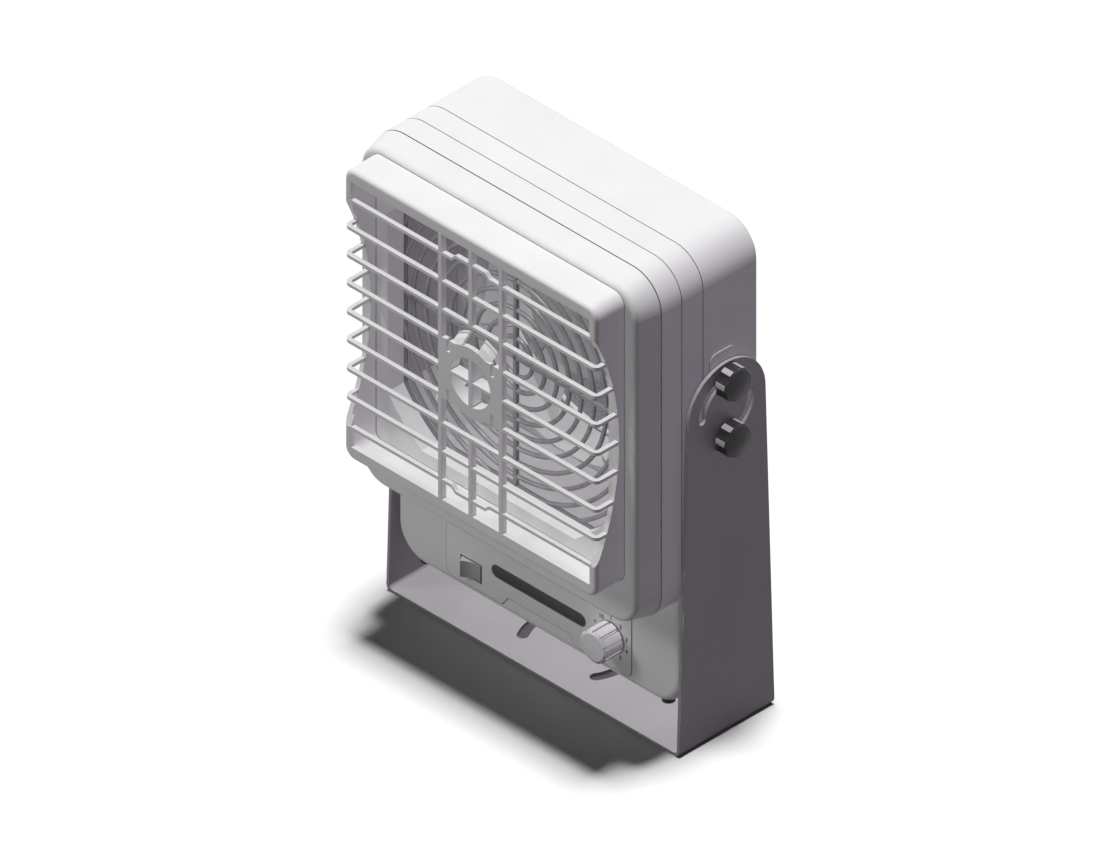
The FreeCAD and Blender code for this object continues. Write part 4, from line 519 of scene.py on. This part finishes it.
def add_tube(builder, points, normals, radius, closed, sides=12):
    """Round wire through points; normals are unit vectors across the wire at each point."""
    rings = []
    count = len(points)
    for index, point in enumerate(points):
        before = points[index - 1] if closed or index > 0 else point
        after = points[(index + 1) % count] if closed or index < count - 1 else point
        along = (after - before).normalized()
        across = normals[index]
        third = along.cross(across)
        ring = []
        for side in range(sides):
            turn = 2 * math.pi * side / sides
            outward = across * math.cos(turn) + third * math.sin(turn)
            ring.append(builder.verts.new(point + outward * radius))
        rings.append(ring)
    for index in range(count if closed else count - 1):
        here = rings[index]
        there = rings[(index + 1) % count]
        for side in range(sides):
            after = (side + 1) % sides
            builder.faces.new((here[side], here[after], there[after], there[side]))
    if not closed:
        builder.faces.new(rings[0][::-1])
        builder.faces.new(rings[-1])


def add_ring(builder, radius, start, end, centre, wire_radius):
    """Ring or arc of round wire in an upright plane; angles from +X towards +Z."""
    closed = end - start > 2 * math.pi - 1e-6
    count = max(LEAST_ARC_SEGMENTS, int(RING_SEGMENTS * (end - start) / (2 * math.pi)))
    steps = count if closed else count - 1
    points = []
    normals = []
    for index in range(count):
        angle = start + (end - start) * index / steps
        outward = Vector((math.cos(angle), 0, math.sin(angle)))
        points.append(centre + outward * radius)
        normals.append(outward)
    add_tube(builder, points, normals, wire_radius, closed)


def duct_outline(offset, steps=14):
    """Outline of the air passage: a square whose corners are cut by a circle."""
    half = GUARD_DUCT_HALF + offset
    radius = GUARD_ROUND_RADIUS + offset
    near = math.acos(half / radius)
    outline = []
    for quarter in range(4):
        start = quarter * math.pi / 2 + near
        end = (quarter + 1) * math.pi / 2 - near
        for index in range(steps + 1):
            angle = start + (end - start) * index / steps
            outline.append(Vector((radius * math.cos(angle), 0, radius * math.sin(angle))))
    return outline


def add_box(builder, low, high, edge, segments=2):
    """Box with rounded edges."""
    made = bmesh.ops.create_cube(builder, size=1)
    size = high - low
    matrix = Matrix.Translation((low + high) / 2) @ Matrix.Diagonal((*size, 1))
    bmesh.ops.transform(builder, matrix=matrix, verts=made["verts"])
    edges = list({e for v in made["verts"] for e in v.link_edges})
    bmesh.ops.bevel(builder, geom=edges, offset=edge, segments=segments, affect="EDGES", profile=0.5)


def guard_radii():
    return [GUARD_FIRST_RADIUS + index * GUARD_PITCH for index in range(GUARD_RINGS)]


def guard_rings(builder, middle, wire):
    """Whole rings where they fit in the square passage, and four arcs each where they don't."""
    limit = GUARD_DUCT_HALF + wire
    for radius in guard_radii():
        if radius < limit:
            add_ring(builder, radius, 0, 2 * math.pi, middle, wire * RING_SHARE)
            continue
        near = math.acos(limit / radius)
        for quarter in range(4):
            add_ring(builder, radius, quarter * math.pi / 2 + near, (quarter + 1) * math.pi / 2 - near,
                     middle, wire * RING_SHARE)


def guard_rods(builder, middle, wire):
    """Level and upright cross rods."""
    reach = GUARD_DUCT_HALF + GUARD_FRAME_WALL / 2
    half = wire * ROD_SHARE
    for corner in (Vector((reach, half, half)), Vector((half, half, reach))):
        add_box(builder, middle - corner, middle + corner, wire * ROD_EDGE_SHARE)


def guard_frame(builder, front, back):
    """Frame round the guard, with softened corners."""
    outer = duct_outline(GUARD_FRAME_WALL)
    inner = duct_outline(0)
    loops = []
    for outline, y in ((outer, front), (outer, back), (inner, back), (inner, front)):
        loops.append([builder.verts.new(Vector((p.x, y, p.z + AIR_AXIS.z))) for p in outline])
    count = len(outer)
    corner_edges = []
    for first, second in zip(loops, loops[1:] + loops[:1]):
        for index in range(count):
            after = (index + 1) % count
            builder.faces.new((first[index], first[after], second[after], second[index]))
    for loop in loops:
        for index in range(count):
            corner_edges.append(builder.edges.get((loop[index], loop[(index + 1) % count])))
    bmesh.ops.bevel(builder, geom=corner_edges, offset=GUARD_FRAME_EDGE, segments=2, affect="EDGES",
                    profile=0.5)


def guard_welds(middle, wire):
    """Weld beads on both sides of each rod, where a ring crosses it."""
    beads = bmesh.new()
    shape = Matrix.Diagonal((wire * BEAD_WIDTH_SHARE, wire * BEAD_DEPTH_SHARE, wire * BEAD_WIDTH_SHARE, 1))
    for radius in guard_radii():
        if radius > GUARD_DUCT_HALF - wire:
            continue
        for turn in range(4):
            angle = turn * math.pi / 2
            outward = Vector((math.cos(angle), 0, math.sin(angle)))
            for side in (-1, 1):
                across = Vector((-outward.z, 0, outward.x)) * side
                centre = middle + outward * radius + across * wire
                bmesh.ops.create_icosphere(beads, subdivisions=2, radius=1,
                                           matrix=Matrix.Translation(centre) @ shape)
    make_piece("guard_welds", mesh_from(beads, "guard_welds"), "guard_wire", "blower")


def finger_guard():
    """Round-wire rings, cross rods with weld beads, and the frame, in place of the plain guard."""
    low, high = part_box("finger_guard")
    middle = Vector((0, (low.y + high.y) / 2, AIR_AXIS.z))
    wire = GUARD_WIRE / 2
    builder = bmesh.new()
    guard_rings(builder, middle, wire)
    guard_rods(builder, middle, wire)
    guard_frame(builder, low.y, high.y)
    bmesh.ops.recalc_face_normals(builder, faces=builder.faces)
    piece = make_piece("guard_wires", mesh_from(builder, "guard_wires"), "guard_wire", "blower")
    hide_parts("finger_guard")
    guard_welds(middle, wire)


def dial_numbers():
    """Numbers 1 to 10 round the dial."""
    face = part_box("panel_overlay")[0].y
    for number in range(1, NUMBERS + 1):
        angle = math.radians(360 / NUMBERS * (number - 1))
        outward = Vector((math.sin(angle), 0, math.cos(angle)))
        text = bpy.data.curves.new("number_text", "FONT")
        text.body = str(number)
        text.size = NUMBER_HEIGHT * FONT_SIZE_SHARE
        text.align_x = "CENTER"
        text.align_y = "CENTER"
        text.extrude = NUMBER_PROUD
        text.offset = NUMBER_WEIGHT
        carrier = bpy.data.objects.new("number_carrier", text)
        bpy.context.scene.collection.objects.link(carrier)
        bpy.context.view_layer.update()
        mesh = bpy.data.meshes.new_from_object(carrier)
        bpy.data.objects.remove(carrier)
        stand_up = Matrix.Rotation(math.pi / 2, 4, "X")
        place = Vector((DIAL_CENTRE.x, face - NUMBER_PROUD, DIAL_CENTRE.z)) + outward * NUMBER_ORBIT
        mesh.transform(Matrix.Translation(place) @ stand_up)
        make_piece("dial_number_%d" % number, mesh, "overlay_film", "blower", "legend_ink", smooth=False)


def turned_part(profile, radius_at, segments):
    """Mesh turned about +Z from (radius, height, fluted) points; radius_at shapes the fluted ones."""
    builder = bmesh.new()
    rings = []
    for radius, height, fluted in profile:
        ring = []
        for index in range(segments):
            angle = 2 * math.pi * index / segments
            reach = radius - fluted * radius_at(angle)
            place = Vector((reach * math.cos(angle), reach * math.sin(angle), height))
            ring.append(builder.verts.new(place))
        rings.append(ring)
    for here, there in zip(rings, rings[1:]):
        for index in range(segments):
            after = (index + 1) % segments
            builder.faces.new((here[index], here[after], there[after], there[index]))
    builder.faces.new(rings[0][::-1])
    builder.faces.new(rings[-1])
    return builder


def notches(count, land, wall, depth):
    """Flat-bottomed grooves round a turned part; land and wall are shares of the pitch."""
    def depth_at(angle):
        phase = angle * count / (2 * math.pi)
        away = abs(phase - round(phase))
        return depth * min(1.0, max(0.0, (away - land / 2) / wall))
    return depth_at


def scallops(count, land, depth):
    """Concave hollows round a turned part; land is the share of the pitch between two of them."""
    def depth_at(angle):
        phase = angle * count / (2 * math.pi)
        away = abs(phase - round(phase))
        across = max(0.0, away - land / 2) / (0.5 - land / 2)
        return depth * across * (2 - across)
    return depth_at


def dome(radius, rim, top, steps=8, last=0.02):
    """Points of a domed face from its rim inwards, whose highest point is at its centre."""
    points = []
    for index in range(steps + 1):
        share = 1 - (1 - last) * index / steps
        points.append((radius * share, rim + (top - rim) * (1 - share ** 2), 0))
    return points


def clamp_profile(length):
    """Radius, height and share of the hollows' depth, from the seat to the middle of the face."""
    front = length - CLAMP_SHOULDER_DROP
    rim = length - CLAMP_RIM_DROP
    side = [
        (CLAMP_RADIUS * CLAMP_BORE_SHARE, 0.0, 0),
        (CLAMP_RADIUS - 0.3 * MM, 0.0, 1),
        (CLAMP_RADIUS, 0.3 * MM, 1),
        (CLAMP_RADIUS, 0.9 * MM, 1),
        (CLAMP_RADIUS, front, 1),
        (CLAMP_RADIUS - 0.2 * MM, front + 0.2 * MM, 0.9),
        (CLAMP_FACE_RADIUS, rim, 0.35),
        (CLAMP_FACE_RADIUS - 0.3 * MM, rim + 0.1 * MM, 0.1),
    ]
    return side + dome(CLAMP_FACE_RADIUS - 0.6 * MM, rim + 0.1 * MM, length)


def paint_lands(piece, land, segments):
    """Gives the land of each lobe a pale material, a painted highlight, on one band of the side."""
    piece.data.materials.append(MATERIALS["clamp_land_sheen"])
    for index in range(segments):
        phase = (index + 0.5) / CLAMP_STEPS
        if abs(phase - round(phase)) < land / 2:
            piece.data.polygons[CLAMP_LAND_BAND * segments + index].material_index = 1


def clamp_knob(place_name, side):
    """One thumb knob, turned to stand out from the arm on its side."""
    name = "clamp_knob_" + place_name
    land = CLAMP_LAND_STEPS / CLAMP_STEPS
    segments = CLAMP_LOBES * CLAMP_STEPS
    low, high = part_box(name)
    hollows = scallops(CLAMP_LOBES, land, CLAMP_HOLLOW_DEPTH)
    builder = turned_part(clamp_profile(high.x - low.x), hollows, segments)
    turn = Matrix.Rotation(side * math.pi / 2, 4, "Y")
    seat = low.x if side > 0 else high.x
    centre = Vector((seat, (low.y + high.y) / 2, (low.z + high.z) / 2))
    bmesh.ops.transform(builder, matrix=Matrix.Translation(centre) @ turn, verts=builder.verts)
    piece = make_piece("clamp_grip_" + place_name, mesh_from(builder, name + "_grip"),
                       "clamp_plastic", "clamp_" + place_name)
    paint_lands(piece, land, segments)
    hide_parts(name)


def clamp_knobs():
    """Thumb knobs with seven lobes, lands with a painted pale highlight and a domed face, in place of the
    plain ones.
    """
    for level in ("upper", "lower"):
        for side_name, side in (("left", -1), ("right", 1)):
            clamp_knob(side_name + "_" + level, side)


def dial_knob():
    """Dial knob with narrow grooves and a bevelled face, in place of the plain one."""
    low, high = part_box("airflow_knob")
    length = high.y - low.y
    radius = DIAL_RADIUS
    face = length - DIAL_FACE_DROP
    # Radius, height and share of the grooves' depth, from the panel to the rim of the face
    profile = [
        (radius * DIAL_BORE_SHARE, 0.0, 0),
        (radius - 0.4 * MM, 0.0, 0),
        (radius, 0.3 * MM, 0.3),
        (radius, 0.6 * MM, 1),
        (radius, length - 1.1 * MM, 1),
        (radius - 0.15 * MM, length - 0.98 * MM, 0.9),
        (radius - 1.55 * MM, face - 0.1 * MM, 0.2),
        (radius - 1.75 * MM, face, 0),
    ]
    profile += dome(radius - 1.95 * MM, face, length, DIAL_DOME_STEPS)
    grooves = notches(DIAL_GROOVES, DIAL_LAND, 1 / DIAL_STEPS, DIAL_GROOVE_DEPTH)
    builder = turned_part(profile, grooves, DIAL_GROOVES * DIAL_STEPS)
    turn = Matrix.Rotation(math.pi / 2, 4, "X")
    centre = Vector((DIAL_CENTRE.x, high.y, DIAL_CENTRE.z))
    bmesh.ops.transform(builder, matrix=Matrix.Translation(centre) @ turn, verts=builder.verts)
    piece = make_piece("dial_grip", mesh_from(builder, "dial_grip"), "dial_plastic", "airflow_dial")
    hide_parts("airflow_knob")


camera()
studio()
dress_solids()
finger_guard()
dial_numbers()
clamp_knobs()
dial_knob()
